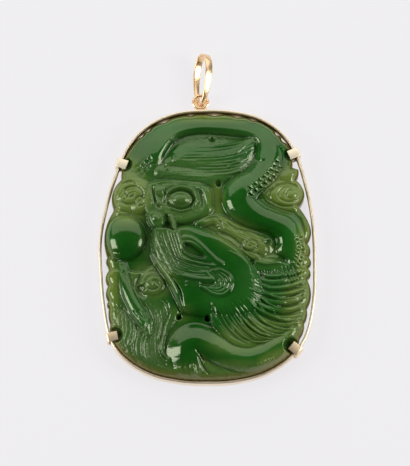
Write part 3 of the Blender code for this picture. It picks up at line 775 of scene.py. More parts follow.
@dataclass(frozen=True)
class LowerLeft(Region):
    """The limb, the scroll and the beard that flows down the left."""

    hair: tuple[Path2, ...] = (
        ((-18.8, -10.4), (-17.6, -13.3), (-17.2, -16.5), (-17.2, -19.0), (-15.4, -22.2)),
        ((-17.0, -11.8), (-15.5, -14.0), (-15.3, -17.0), (-15.8, -19.6), (-13.4, -24.0)),
        ((-14.8, -14.0), (-13.0, -17.0), (-13.4, -19.4), (-13.0, -22.1), (-10.6, -25.0)),
        ((-12.4, -10.6), (-10.6, -14.6), (-11.2, -19.0), (-10.6, -23.0), (-7.6, -25.6)),
        ((-10.8, -10.0), (-8.9, -13.2), (-9.6, -17.6), (-9.6, -22.0), (-5.6, -26.0)),
        ((-9.0, -9.6), (-7.4, -12.2), (-8.7, -16.4), (-9.0, -21.2), (-4.4, -25.6)),
    )

    def strokes(self) -> tuple[Form, ...]:
        """Lists the forms, some of them along the guide lines.

        Returns:
            The forms in the order in which they are cut.
        """
        return (
            Table((
                (-20.0, -4.6, 0.8), (-17.4, -4.0, 0.8), (-13.4, -4.6, 0.8), (-10.6, -3.4, 0.8),
                (-8.2, -6.4, 0.8), (-6.6, -9.4, 0.8), (-5.4, -12.4, 0.8), (-6.6, -15.4, 0.8),
                (-8.8, -18.8, 0.7), (-8.7, -22.4, 0.6), (-5.6, -25.8, 0.8), (-10.6, -25.6, 0.8),
                (-16.2, -22.6, 0.8), (-20.0, -16.0, 0.8), (-20.6, -9.6, 0.8),
            ), 1.0),
            Locks(self.hair, 15, 0.8, 1.32),
            Comb(self.hair, 48, 0.12, 0.17, 11),
            Dome(-11.0, -7.2, 3.4, 3.0, 1.8, full=2.2),
            Cut(((-13.0, -5.2), (-13.9, -6.6), (-13.8, -8.4), (-12.2, -10.0)), 0.4, 0.6),
            Volute(-10.6, -7.2, 2.2, 1.3, 60, 0.25, 0.3, 0.9),
            Dome(-10.6, -7.3, 1.1, 1.0, 2.0),
            Pit(-13.1, -8.1, 0.75, 0.9),
            Roll((
                (-17.0, -3.4, 1.3, 1.0), (-16.5, -6.4, 1.6, 1.6), (-15.6, -9.4, 1.7, 1.9),
                (-14.2, -12.2, 1.9, 2.1), (-12.6, -14.8, 1.9, 2.1), (-11.8, -17.2, 1.1, 1.6),
            ), 2.5, 0.8),
            Comb((((-17.6, -4.6), (-16.4, -6.4), (-15.4, -8.6)),
                  ((-16.0, -3.6), (-15.2, -5.6), (-14.6, -7.8))), 6, 0.14, 0.16, 5),
            Comb((((-14.8, -12.6), (-14.2, -13.4), (-13.4, -14.4)),
                  ((-12.6, -12.4), (-11.8, -13.8), (-10.8, -15.4))), 5, 0.16, 0.2, 9),
            Cut(((-17.7, -8.6), (-16.6, -10.8), (-15.0, -13.4)), 0.16, 0.15),
            Roll(((-19.6, -4.4, 0.9, 0.9), (-19.8, -7.6, 1.0, 1.0), (-19.5, -11.0, 1.0, 1.0),
                  (-18.9, -14.4, 0.9, 0.9))),
            Volute(-18.7, -14.9, 1.2, 1.0, 90, 0.2, 0.3),
            Ridge(((-9.2, -14.8), (-9.5, -17.6), (-9.3, -20.8)), 0.2, 0.32),
            Ridge(((-11.7, -14.3), (-12.0, -15.6), (-11.9, -16.6)), 0.2, 0.3),
            Ridge(((-15.3, -18.5), (-15.2, -20.0)), 0.2, 0.25),
            Ridge(((-13.5, -22.5), (-12.0, -24.0), (-9.0, -25.4)), 0.2, 0.25),
            Ridge(((-9.8, -23.5), (-8.6, -24.4)), 0.2, 0.25),
            Ridge(((-3.5, -12.2), (-3.2, -13.8)), 0.3, 0.3),
        )


@dataclass(frozen=True)
class Fringe(Region):
    """The fringe of spines and locks to the right of the neck and below it."""

    hair: tuple[Path2, ...] = (
        ((8.6, -4.2), (12.0, -5.6), (15.6, -5.4), (19.6, -4.2)),
        ((7.9, -6.4), (12.2, -8.1), (16.2, -7.8), (20.4, -6.2)),
        ((7.6, -8.2), (11.8, -11.0), (16.0, -11.4), (20.2, -9.8)),
        ((6.8, -9.8), (10.9, -13.6), (15.0, -14.8), (19.6, -13.8)),
        ((5.0, -10.8), (8.7, -15.4), (12.4, -17.4), (17.2, -17.2)),
        ((2.6, -11.2), (5.4, -15.8), (8.6, -18.4), (13.2, -18.8)),
        ((0.4, -11.0), (2.0, -14.6), (4.2, -17.4), (7.8, -19.4)),
    )
    across: tuple[Path2, ...] = (
        ((9.0, -6.8), (12.6, -9.6), (16.4, -10.2), (20.0, -8.4)),
        ((7.4, -9.4), (10.4, -14.2), (14.6, -16.4), (18.8, -16.0)),
        ((3.8, -11.4), (6.0, -16.8), (9.6, -18.9), (13.6, -18.4)),
    )
    shell: tuple[Path2, ...] = (
        ((12.4, -12.9), (15.6, -13.2), (18.4, -12.2), (20.2, -9.6)),
        ((14.6, -11.2), (16.8, -11.0), (18.4, -10.0), (19.2, -8.6)),
    )

    def strokes(self) -> tuple[Form, ...]:
        """Lists the forms, some of them along the guide lines.

        Returns:
            The forms in the order in which they are cut.
        """
        return (
            Table((
                (9.0, -2.6, 0.8), (13.0, -2.0, 0.8), (17.0, -3.0, 0.8), (20.4, -3.6, 0.8),
                (20.6, -8.0, 0.8), (20.2, -13.0, 0.8), (18.6, -18.0, 0.8), (14.0, -19.4, 0.8),
                (9.0, -20.6, 0.8), (4.6, -19.6, 0.8), (1.2, -15.8, 0.8), (0.0, -12.4, 0.8),
                (3.6, -12.6, 0.8), (7.6, -11.8, 0.8), (9.2, -8.0, 0.8),
            ), 1.2, (-0.06, 0.02)),
            Locks(self.hair, 14, 0.8, 1.8),
            Locks(self.across, 7, 0.45, 1.95),
            Comb(self.hair, 46, 0.14, 0.27, 13, 0.3),
            Comb(self.shell, 4, 0.2, 0.3, 17),
            Ridge(((10.0, -2.1), (12.0, -1.7), (14.2, -1.7)), 0.4, 0.6, 0.2),
            Ridge(((9.0, -2.6), (12.0, -3.2), (15.0, -2.6)), 0.25, 0.4, 0.2),
            Comb((((10.2, -4.6), (10.5, -5.2), (10.8, -5.9)), ((14.0, -4.2), (14.2, -4.9), (14.4, -5.6))),
                 8, 0.14, 0.3, 19),
            Comb((((14.8, -3.6), (15.6, -5.2), (16.6, -7.0)), ((17.0, -3.2), (17.6, -4.8), (18.4, -6.6))),
                 4, 0.15, 0.3, 23),
            Comb((((17.6, -3.4), (16.4, -5.0), (15.0, -6.6)), ((18.6, -4.6), (17.6, -6.0), (16.4, -7.4))),
                 4, 0.15, 0.3, 29),
            Ridge(((15.8, -8.2), (17.2, -7.4)), 0.22, 0.4, 0.2),
            Ridge(((8.3, -8.5), (10.6, -9.2), (12.8, -9.7)), 0.2, 0.35, 0.2),
            Ridge(((9.5, -10.8), (11.0, -11.9), (13.5, -13.0)), 0.2, 0.35, 0.2),
            Ridge(((8.9, -11.6), (10.6, -12.8), (12.5, -13.7), (14.2, -14.4)), 0.2, 0.35, 0.2),
            Ridge(((5.5, -13.3), (7.4, -16.0), (9.5, -18.5)), 0.2, 0.3, 0.2),
            Ridge(((10.3, -17.3), (12.2, -17.6)), 0.25, 0.3, 0.2),
            Ridge(((0.6, -11.2), (1.3, -12.5), (1.8, -14.0), (2.6, -15.6)), 0.2, 0.35, 0.2),
            Ridge(((3.5, -13.5), (4.3, -15.0), (5.2, -16.8)), 0.2, 0.3, 0.2),
        )


@dataclass(frozen=True)
class Tail(Region):
    """The smooth tail and the spines that stand out under it."""

    forms: tuple[Form, ...] = (
        Table((
            (-8.2, -22.0, 0.8), (0.0, -20.6, 0.8), (8.0, -22.6, 0.8), (13.4, -21.6, 0.8),
            (15.4, -22.2, 0.8), (11.6, -24.8, 0.8), (5.6, -26.3, 0.8), (0.0, -26.7, 0.8),
            (-6.6, -26.4, 0.8),
        ), 0.9),
        Roll((
            (-3.8, -23.8, 4.2, 4.2, 1.9), (-3.9, -22.0, 4.3, 4.6, 2.15), (-3.9, -20.2, 4.3, 4.2, 2.3),
            (-2.4, -18.9, 4.1, 3.4, 2.4), (1.0, -20.4, 4.2, 3.0, 2.4), (4.2, -22.2, 4.0, 2.8, 2.3),
            (8.0, -22.9, 4.0, 2.7, 2.2), (11.6, -22.0, 4.2, 2.9, 2.1), (14.4, -19.8, 3.6, 2.6, 1.9),
            (16.6, -16.8, 1.8, 1.8, 1.4),
        ), 1.8, 1.0, 2.2),
        Comb((((-5.0, -23.4), (-4.8, -24.6), (-4.3, -25.9)), ((-2.2, -22.8), (-2.2, -24.2), (-1.7, -26.2))),
             7, 0.14, 0.2, 31, 0.3),
        Comb((((3.4, -23.8), (4.8, -24.9), (6.6, -25.8)), ((8.4, -24.2), (9.4, -24.8), (10.8, -25.3))),
             8, 0.14, 0.12, 33),
        Ridge(((-1.5, -20.6), (-0.9, -22.4), (0.0, -23.8), (1.1, -24.9), (3.3, -25.8)), 0.6, 0.2, 0.5),
        Cut(((-1.7, -21.8), (-1.3, -23.2), (-0.4, -24.6), (0.8, -25.7)), 0.22, 0.35),
        Ridge(((-3.2, -23.6), (-2.5, -25.0), (-1.0, -26.4)), 0.4, 0.4, 0.2),
        Ridge(((2.2, -23.6), (3.6, -24.8), (5.4, -25.8)), 0.25, 0.16, 0.4),
        Ridge(((12.9, -23.4), (14.5, -21.9), (15.4, -20.3), (16.1, -18.6)), 0.5, 0.5, 0.3),
        Comb((((9.2, -23.6), (9.5, -24.1), (9.9, -24.6)), ((12.6, -22.2), (13.0, -22.6), (13.5, -23.0))),
             9, 0.14, -0.22, 37),
    )


@dataclass(frozen=True)
class Holes(Region):
    """The blind holes, drilled when all else is carved."""

    forms: tuple[Form, ...] = (
        Pit(0.95, 22.75, 0.5, 0.9),
        Ring(0.95, 22.75, 0.95, 0.95, 0, width=0.2, depth=-0.16),
        Pit(2.2, 13.5, 0.6, 1.0),
        Pit(-5.7, -13.8, 0.5, 1.3),
        Pit(0.0, -14.1, 0.54, 1.5),
    )


@dataclass(frozen=True)
class Stone(Region):
    """The stone's own colouring and how finely its parts are worked."""

    forms: tuple[Form, ...] = (
        Tone(-16.2, 10.6, 5.0, 5.2, olive=0.9, frost=0.45),
        Tone(16.8, 12.2, 5.0, 4.4, olive=0.95, frost=0.35),
        Tone(6.2, 2.4, 7.6, 2.7, olive=0.85, frost=0.6, turn=-32),
        Tone(1.6, 10.0, 1.6, 4.0, olive=0.6),
        Tone(-19.6, -9.0, 2.0, 8.0, olive=0.7),
        Tone(-18.4, -15.6, 2.6, 4.0, olive=0.6),
        Tone(19.6, -2.0, 2.0, 8.0, olive=0.7),
        Tone(18.8, -12.6, 3.8, 6.8, olive=0.8, frost=0.4),
        Tone(9.6, -17.4, 8.4, 3.0, olive=0.5, frost=0.4, turn=14),
        Tone(-11.0, -6.4, 4.2, 3.6, olive=0.5, frost=0.5),
        Tone(-5.4, -13.2, 2.4, 1.8, olive=0.2),
        Tone(-12.6, -18.0, 6.6, 8.0, olive=0.3, frost=0.75, turn=20),
        Tone(2.0, -25.2, 14.0, 2.2, olive=0.5, frost=0.6),
        Tone(12.6, -24.0, 5.0, 2.4, olive=0.75, frost=0.4, turn=35),
        Tone(0.0, 29.0, 22.0, 2.6, olive=0.6),
        Tone(0.6, 22.9, 9.4, 1.5, olive=0.12, frost=0.65),
        Tone(20.4, 10.6, 2.0, 4.0, olive=1.0),
        Tone(-20.0, 10.6, 1.8, 4.0, olive=1.0),
        Tone(-6.6, 9.6, 7.4, 4.8, olive=0.3, frost=0.55),
        Tone(-2.6, 15.6, 9.4, 3.0, olive=0.2, frost=0.6),
        Tone(6.4, 19.4, 3.4, 4.0, frost=0.45),
        Tone(-8.0, 0.6, 4.8, 5.2, olive=0.2, frost=0.5),
        Tone(-3.4, -4.0, 6.6, 3.0, frost=0.4, turn=-24),
        Tone(1.6, -7.6, 2.2, 2.6, frost=0.3),
        Tone(6.0, -9.4, 3.6, 4.0, olive=-0.8, frost=-0.8),
        Tone(12.6, -6.6, 6.0, 4.8, frost=0.3),
        Tone(-4.6, -20.8, 3.9, 3.6, olive=-0.8, frost=-0.95),
        Tone(-13.6, -12.8, 1.7, 4.2, olive=-0.9, frost=-0.8, turn=32),
        Tone(0.4, -24.0, 2.8, 0.8, olive=0.5, frost=0.5, turn=-50),
        Tone(-15.6, 15.6, 2.8, 3.4, olive=0.35),
    )


class Polish(Enum):
    """How far a gold piece is worked."""

    BRIGHT = 0.25
    SATIN = 0.42


class Shading:
    """A new material's nodes, with short ways to add the kinds that the finishes share."""

    def __init__(self, name: str) -> None:
        """Starts a material that reads the object's own coordinates.

        Args:
            name: The material's name.
        """
        self.material = bpy.data.materials.new(name)
        self.material.use_nodes = True
        self.nodes, self.links = self.material.node_tree.nodes, self.material.node_tree.links
        self.place = self.nodes.new("ShaderNodeTexCoord").outputs["Object"]

    def give(self, name: str, value: Socket | tuple[float, ...] | float) -> None:
        """Links or sets one input of the Principled node."""
        self.feed(self.nodes["Principled BSDF"].inputs[name], value)

    def feed(self, socket: Socket, value: Socket | tuple[float, ...] | float) -> None:
        """Links an input to another node's output, or sets it.

        Args:
            socket: The input.
            value: An output to link, or what the input is set to.
        """
        if isinstance(value, Socket):
            self.links.new(value, socket)
        else:
            socket.default_value = value

    def noise(self, scale: float, detail: float) -> Socket:
        """Adds a noise over the object's coordinates.

        Args:
            scale: The noise's scale, in turns per metre.
            detail: Its octaves.

        Returns:
            The noise's value.
        """
        node = self.nodes.new("ShaderNodeTexNoise")
        node.inputs["Scale"].default_value = scale
        node.inputs["Detail"].default_value = detail
        self.links.new(self.place, node.inputs["Vector"])
        return node.outputs[0]

    def attribute(self, name: str) -> Socket:
        """Adds a reader of one of the mesh's own attributes.

        Args:
            name: The attribute's name.

        Returns:
            Its value.
        """
        node = self.nodes.new("ShaderNodeAttribute")
        node.attribute_name = name
        return node.outputs["Fac"]

    def blend(self, share: Socket, first: Socket | Colour, second: Colour) -> Socket:
        """Adds a mix of two colours.

        Args:
            share: How much of the second there is.
            first: The colour at 0.
            second: The colour at 1.

        Returns:
            The mixed colour.
        """
        node = self.nodes.new("ShaderNodeMix")
        node.data_type = "RGBA"
        self.feed(node.inputs[0], share)
        self.feed(node.inputs[6], first)
        self.feed(node.inputs[7], second)
        return node.outputs[2]

    def reckon(self, operation: str, first: Socket, *others: Socket | float,
               limited: bool = False) -> Socket:
        """Adds a piece of arithmetic.

        Args:
            operation: The kind of arithmetic.
            first: Its first value.
            others: Its other values.
            limited: Whether the result is kept between 0 and 1.

        Returns:
            The result.
        """
        node = self.nodes.new("ShaderNodeMath")
        node.operation = operation
        node.use_clamp = limited
        for socket, value in zip(node.inputs, (first, *others)):
            self.feed(socket, value)
        return node.outputs[0]

    def spread(self, value: Socket, limits: tuple[float, float] = (0.0, 1.0),
               results: tuple[float, float] = (0.0, 1.0)) -> Socket:
        """Stretches a value between two limits to two results.

        Args:
            value: The value.
            limits: The lowest and the highest value.
            results: What they become.

        Returns:
            The stretched value.
        """
        node = self.nodes.new("ShaderNodeMapRange")
        for socket, amount in zip(node.inputs, (value, *limits, *results)):
            self.feed(socket, amount)
        return node.outputs[0]

    def bump(self, height: Socket, strength: Socket | float, distance: float,
             under: Socket | None = None) -> Socket:
        """Adds a fine unevenness.

        Args:
            height: The height of the surface.
            strength: How strongly it shows.
            distance: How high it is, in metres.
            under: The unevenness that this one lies on, if any.

        Returns:
            The uneven normal.
        """
        node = self.nodes.new("ShaderNodeBump")
        self.feed(node.inputs["Height"], height)
        self.feed(node.inputs["Strength"], strength)
        node.inputs["Distance"].default_value = distance
        if under is not None:
            self.feed(node.inputs["Normal"], under)
        return node.outputs[0]


@dataclass(frozen=True)
class JadeFinish:
    """Deep green translucent jade with olive clouds, polished where it swells and matt where finely cut."""

    deep: Colour = (0.006, 0.075, 0.005, 1.0)
    leaf: Colour = (0.015, 0.115, 0.012, 1.0)
    olive: Colour = (0.19, 0.255, 0.045, 1.0)
    worked: Colour = (0.048, 0.125, 0.04, 1.0)
    # Painted reflection: a warm brown painted on the stone's edge in place of the gold band's reflection
    # there.
    rim_reflection: Colour = (0.2, 0.14, 0.025, 1.0)
    # Painted shade: the dark green mixed in where the stone lies deep in grooves and valleys.
    groove_shade: Colour = (0.006, 0.04, 0.003, 1.0)
    sheen_tint: Colour = (0.92, 1.0, 0.76, 1.0)
    cloud_scale: float = 95.0
    cloud_limits: tuple[float, float] = (0.42, 0.68)
    vein_scale: float = 420.0
    vein_gain: float = 0.5
    vein_base: float = 0.72
    worked_share: float = 0.65
    polished_roughness: float = 0.1
    worked_roughness: float = 0.37
    ior: float = 1.62
    glow: float = 0.2
    glow_colours: tuple[float, float, float] = (0.35, 1.0, 0.25)
    glow_depth: float = 0.0016
    grain_scale: float = 2600.0
    grain_strength: float = 0.12
    grain_depth: float = 0.00006
    chisel_scale: float = 1300.0
    chisel_depth: float = 0.00022

    def build(self) -> bpy.types.Material:
        """Makes the material from nodes that read the stone's own attributes.

        Returns:
            The material.
        """
        jade = Shading("jade_stone")
        frost = jade.attribute("frost")
        clouds = jade.spread(jade.noise(self.cloud_scale, 3.0), self.cloud_limits)
        colour = jade.blend(clouds, self.deep, self.leaf)
        veins = jade.reckon("MULTIPLY_ADD", jade.noise(self.vein_scale, 5.0), self.vein_gain, self.vein_base)
        olive = jade.reckon("MULTIPLY", jade.attribute("olive"), veins, limited=True)
        colour = jade.blend(olive, colour, self.olive)
        colour = jade.blend(jade.reckon("MULTIPLY", frost, self.worked_share), colour, self.worked)
        # Painted shade darkens the grooves and valleys.
        colour = jade.blend(jade.attribute("groove_shade"), colour, self.groove_shade)
        # A painted reflection of the gold band warms the stone's edge.
        jade.give("Base Color", jade.blend(jade.attribute("rim"), colour, self.rim_reflection))
        roughness = (self.polished_roughness, self.worked_roughness)
        jade.give("Roughness", jade.spread(frost, results=roughness))
        jade.give("IOR", self.ior)
        jade.give("Specular Tint", self.sheen_tint)
        jade.give("Subsurface Weight", self.glow)
        jade.give("Subsurface Radius", self.glow_colours)
        jade.give("Subsurface Scale", self.glow_depth)
        grain = jade.bump(jade.noise(self.grain_scale, 3.0), self.grain_strength, self.grain_depth)
        jade.give("Normal", jade.bump(jade.noise(self.chisel_scale, 2.0), frost, self.chisel_depth, grain))
        return jade.material


@dataclass(frozen=True)
class GoldFinish:
    """Pale yellow gold with the faint unevenness of handwork."""

    name: str
    polish: Polish
    colour: Colour
    # Painted shade and reflection: a dark brown for the wall that faces the green stone, in place of its
    # shade and the stone's reflection there.
    inside_shade_colour: Colour | None = None
    metallic: float = 0.92
    wear_scale: float = 350.0
    wear_tone: float = 0.93
    wear_polish: tuple[float, float] = (0.8, 1.3)
    wear_strength: float = 0.12
    wear_depth: float = 0.00004

    def build(self) -> bpy.types.Material:
        """Makes the material, with a painted shade colour where a piece is marked as facing the stone.

        Returns:
            The material.
        """
        gold = Shading(self.name)
        wear = gold.noise(self.wear_scale, 2.0)
        worn = (*(self.wear_tone * c for c in self.colour[:3]), 1.0)
        colour = gold.blend(wear, self.colour, worn)
        # Painted shade and reflection of the stone on the wall that faces it.
        if self.inside_shade_colour is not None:
            colour = gold.blend(gold.attribute("inside"), colour, self.inside_shade_colour)
        gold.give("Base Color", colour)
        gold.give("Metallic", self.metallic)
        roughness = tuple(self.polish.value * share for share in self.wear_polish)
        gold.give("Roughness", gold.spread(wear, results=roughness))
        gold.give("Normal", gold.bump(wear, self.wear_strength, self.wear_depth))
        return gold.material


def outward(line: np.ndarray) -> np.ndarray:
    """Finds the outward direction at each point of an anticlockwise closed line.

    Args:
        line: The line's points.

    Returns:
        A unit direction for each point.
    """
    along = np.roll(line, -1, axis=0) - np.roll(line, 1, axis=0)
    normal = np.column_stack([along[:, 1], -along[:, 0]])
    return normal / np.linalg.norm(normal, axis=1)[:, None]


def evenly(line: np.ndarray, count: int) -> np.ndarray:
    """Spreads points evenly along a closed line.

    Args:
        line: The line's points.
        count: How many points are wanted.

    Returns:
        The spread points.
    """
    line = np.vstack([line, line[:1]])
    length = np.concatenate([[0], np.cumsum(np.linalg.norm(np.diff(line, axis=0), axis=1))])
    at = np.linspace(0, length[-1], count + 1)[:-1]
    return np.column_stack([np.interp(at, length, line[:, 0]), np.interp(at, length, line[:, 1])])


def distance_to(points: np.ndarray, line: np.ndarray) -> np.ndarray:
    """Measures points against a closed line.

    Args:
        points: The points.
        line: The line's points.

    Returns:
        The distance of each point.
    """
    best = np.full(len(points), np.inf)
    for a, b in zip(line, np.roll(line, -1, axis=0)):
        along = b - a
        t = np.clip((points - a) @ along / (along @ along), 0, 1)
        best = np.minimum(best, np.linalg.norm(points - a - t[:, None] * along, axis=1))
    return best


def make_piece(name: str, points: np.ndarray, faces: list[list[int]],
               material: bpy.types.Material) -> bpy.types.Object:
    """Makes one mesh object with its faces pointing outwards.

    Args:
        name: The piece's name.
        points: Its corners, in metres.
        faces: Its faces.
        material: Its material.

    Returns:
        The object.
    """
    mesh = bpy.data.meshes.new(name)
    mesh.from_pydata([tuple(p) for p in points], [], [tuple(int(i) for i in f) for f in faces])
    shape = bmesh.new()
    shape.from_mesh(mesh)
    bmesh.ops.recalc_face_normals(shape, faces=shape.faces)
    shape.to_mesh(mesh)
    shape.free()
    mesh.shade_smooth()
    mesh.materials.append(material)
    piece = bpy.data.objects.new(name, mesh)
    bpy.context.scene.collection.objects.link(piece)
    return piece


def mark(piece: bpy.types.Object, name: str, values: np.ndarray) -> None:
    """Marks each corner of a piece with a value, under a name that its finish reads."""
    attribute = piece.data.attributes.new(name, "FLOAT", "POINT")
    attribute.data.foreach_set("value", values.astype(np.float32))


@dataclass
class Setting:
    """The line of the band's inner face, which the stone and the gold follow, and where the claws stand."""

    claw_angles: tuple[float, ...] = (48.2, 134.4, 223.4, 310.4)
    corners: Path2 = (
        (21.15, -2.0), (20.85, 6.0), (19.6, 13.2), (17.75, 19.4), (14.9, 23.8), (10.5, 26.9), (5.5, 28.2),
        (0.0, 28.55), (-6.2, 27.95), (-11.7, 25.5), (-15.8, 21.1), (-18.5, 14.6), (-20.4, 7.4),
        (-21.25, 1.5), (-21.05, -4.5), (-20.4, -11.5), (-18.9, -18.4), (-15.8, -22.5), (-11.0, -25.3),
        (-5.5, -26.6), (0.0, -26.9), (5.5, -26.6), (11.2, -25.1), (16.3, -21.8), (19.4, -17.2),
        (20.9, -10.0),
    )
    bottom: float = 0.5
    top: float = 3.1
    wall: float = 0.55

    def line(self) -> np.ndarray:
        """The inner face, anticlockwise, in millimetres."""
        return smooth_path(np.array(self.corners), 16, closed=True)

    def at(self, angle: float) -> tuple[np.ndarray, np.ndarray]:
        """Finds a place on the inner face.

        Args:
            angle: The angle from +X, in degrees.

        Returns:
            The place and the outward direction there.
        """
        line = self.line()
        turned = np.degrees(np.arctan2(line[:, 1], line[:, 0])) - angle
        i = int(np.argmin(np.abs((turned + 180) % 360 - 180)))
        return line[i], outward(line)[i]


@dataclass
class JadePlaque:
    """The carved stone: a relief on a thick oval, with scalloped sides and a plain flat back."""

    setting: Setting
    finish: JadeFinish = JadeFinish()
    regions: tuple[Region, ...] = (
        Clouds(), Coils(), Mane(), Head(), Pearl(), LowerLeft(), Neck(), Fringe(), Tail(), Holes(), Stone(),
    )
    left_scallops: tuple[Row, ...] = (
        (-17.3, 16.3, 0.1), (-17.4, 14.4, 1.05), (-18.9, 8.2, 0.0), (-19.1, 7.6, 1.1), (-20.1, -1.7, 0.3),
        (-20.0, -3.5, 0.0), (-19.8, -4.4, 0.55), (-19.9, -7.6, 0.45), (-19.8, -10.7, 0.3),
        (-19.7, -12.1, 0.2), (-19.3, -15.4, 0.0),
    )
    right_scallops: tuple[Row, ...] = (
        (18.3, -18.2, 0.3), (19.2, -15.2, 0.3), (19.8, -12.2, 0.75), (20.0, -6.3, 0.55), (20.2, -3.9, 0.5),
        (20.3, -1.6, 0.45), (20.1, 1.2, 0.55), (20.4, 5.4, 0.15), (18.5, 8.6, 1.3), (18.0, 14.3, 0.2),
        (18.4, 16.6, 0.0), (17.2, 17.0, 0.1), (17.2, 18.4, 0.0),
    )
    rim_gaps: tuple[Row, ...] = (
        (-13.6, 0.4, 0.25), (-12.2, 0.4, 0.28), (-8.9, 0.8, 0.3), (-3.4, 0.5, 0.28), (1.4, 1.1, 0.3),
        (6.1, 0.8, 0.3), (9.3, 0.6, 0.28), (14.3, 0.4, 0.35), (15.6, 0.4, 0.35),
    )
    claw_margins: tuple[float, ...] = (-1.5, 3.0, -3.5, 2.5)
    edge_inset: float = 0.08
    view_slope: float = 0.249
    drawn_level: float = 3.5
    usual_relief: float = 1.5
    valley_floor: float = 0.7
    valley_drop: float = 0.1
    rim_height: float = 1.9
    rim_rounding: float = 1.5
    rim_drop: float = 0.9
    rim_drop_from: float = 16.0
    rim_lift: float = 0.9
    rim_lift_from: float = 13.0
    rim_blend: float = 6.0
    rim_reflection_width: float = 1.3
    rim_reflection_least: float = 0.3
    rim_reflection_gain: float = 0.5
    rim_reflection_from: float = 12.0
    rim_reflection_blend: float = 8.0
    groove_passes: int = 8
    groove_depth: float = 0.26
    groove_limits: tuple[float, float] = (-0.1, 0.5)
    valley_passes: int = 90
    valley_depth: float = 2.0
    valley_limits: tuple[float, float] = (-0.15, 0.25)
    groove_shade_limit: float = 0.65
    back_chamfer: float = 0.9
    seat_width: float = 1.35
    seat_reach: float = 1.3
    seat_slope: float = 3.0
    solder_gap: float = 0.05
    grid_step: float = 0.16
    grid_clearance: float = 0.55
    edge_step: float = 0.2

    def under_band(self, first: float, last: float) -> np.ndarray:
        """Follows the band just inside it.

        Args:
            first: The angle where the stretch begins, in degrees.
            last: The angle where it ends.

        Returns:
            The points of the stretch.
        """
        line = self.setting.line()
        inset = np.full(len(line), self.edge_inset)
        for x, half_width, depth in self.rim_gaps:
            near = np.exp(-(((line[:, 0] - x) / half_width) ** 2)) * (line[:, 1] > 0)
            inset += depth * near
        inner = line - outward(line) * inset[:, None]
        turned = (np.degrees(np.arctan2(inner[:, 1], inner[:, 0])) - first) % 360
        order = np.argsort(turned)
        return inner[order][turned[order] < (last - first) % 360]

    def scalloped(self, corners: tuple[Row, ...]) -> np.ndarray:
        """Joins corners by arcs that swell outwards.

        Args:
            corners: Each corner and the swell of the arc to the next one.

        Returns:
            The points of the arcs.
        """
        points = []
        for (ax, ay, swell), (bx, by, _) in zip(corners[:-1], corners[1:]):
            a, b = np.array((ax, ay)), np.array((bx, by))
            along = b - a
            out = np.array((along[1], -along[0])) / np.linalg.norm(along)
            for t in np.linspace(0, 1, 16)[:-1]:
                points.append(a + along * t + out * swell * 4 * t * (1 - t))
        points.append(b)
        return np.array(points)

    def edge(self) -> np.ndarray:
        """Follows the stone's edge: under the band at the head and the foot, and scalloped at the sides.

        Returns:
            The edge's points, anticlockwise.
        """
        turns = [angle + margin for angle, margin in zip(self.setting.claw_angles, self.claw_margins)]
        line = np.vstack([
            self.under_band(turns[0], turns[1]),
            self.scalloped(self.left_scallops),
            self.under_band(turns[2], turns[3]),
            self.scalloped(self.right_scallops),
        ])
        length = np.linalg.norm(np.roll(line, -1, axis=0) - line, axis=1).sum()
        return evenly(line, int(length / self.edge_step))

    def grid(self, edge: np.ndarray) -> np.ndarray:
        """Fills the inside of the edge with a triangular grid.

        Args:
            edge: The edge's points.

        Returns:
            The grid's points, clear of the edge.
        """
        step = self.grid_step
        low, high = edge.min(0), edge.max(0)
        rows = []
        for i, y in enumerate(np.arange(low[1], high[1], step * math.sqrt(0.75))):
            x = np.arange(low[0] + (i % 2) * step / 2, high[0], step)
            x = x[self.inside_row(edge, x, y)]
            rows.append(np.column_stack([x, np.full_like(x, y)]))
        points = np.vstack(rows)
        return points[distance_to(points, edge) > step * self.grid_clearance]

    @staticmethod
    def inside_row(edge: np.ndarray, x: np.ndarray, y: float) -> np.ndarray:
        """Tests a row of points against the edge.

        Args:
            edge: The edge's points.
            x: The points' places across.
            y: The row's height.

        Returns:
            True for each point inside.
        """
        a, b = edge, np.roll(edge, -1, axis=0)
        spans = (a[:, 1] > y) != (b[:, 1] > y)
        at = a[spans, 0] + (y - a[spans, 1]) / (b[spans, 1] - a[spans, 1]) * (b[spans, 0] - a[spans, 0])
        return (x[:, None] < at[None]).sum(1) % 2 == 1

    @staticmethod
    def triangles(edge: np.ndarray, inner: np.ndarray) -> list[list[int]]:
        """Triangulates the inside of the edge.

        Args:
            edge: The edge's points.
            inner: Further points inside, or none.

        Returns:
            The triangles, as indices into the edge's and then the inner points.
        """
        points = np.vstack([edge, inner]) if len(inner) else edge
        count = len(edge)
        ring = [(i, (i + 1) % count) for i in range(count)]
        found = delaunay_2d_cdt([Vector(p) for p in points], ring, [list(range(count))], 1, 1e-6)
        order = [source[0] for source in found[3]]
        return [[order[i] for i in face] for face in found[2]]

    def carve(self, points: np.ndarray, edge: np.ndarray) -> tuple[np.ndarray, Relief]:
        """Carves the front, with the drawing shifted by what the leaning view adds at the usual height.

        Args:
            points: The front's points.
            edge: The edge's points.

        Returns:
            The heights and the relief with its tones.
        """
        x, y = points[:, 0], points[:, 1]
        usual = Relief(x, y).surface() + self.usual_relief
        relief = Relief(x, y + self.view_slope * (usual - self.drawn_level))
        for region in self.regions:
            region.carve(relief)
        high = np.hypot(np.maximum(relief.height, 0), self.valley_floor) - self.valley_drop
        relief.height = high + np.minimum(relief.height, 0)
        z = relief.surface()
        inside = np.clip(distance_to(points, edge) / self.rim_rounding, 0, 1)
        rim = self.rim_height - self.rim_drop * np.clip((y - self.rim_drop_from) / self.rim_blend, 0, 1)
        rim = rim + self.rim_lift * np.clip((-self.rim_lift_from - y) / self.rim_blend, 0, 1)
        z = rim + np.maximum(z - rim, 0) * np.sqrt(1 - (1 - inside) ** 2)
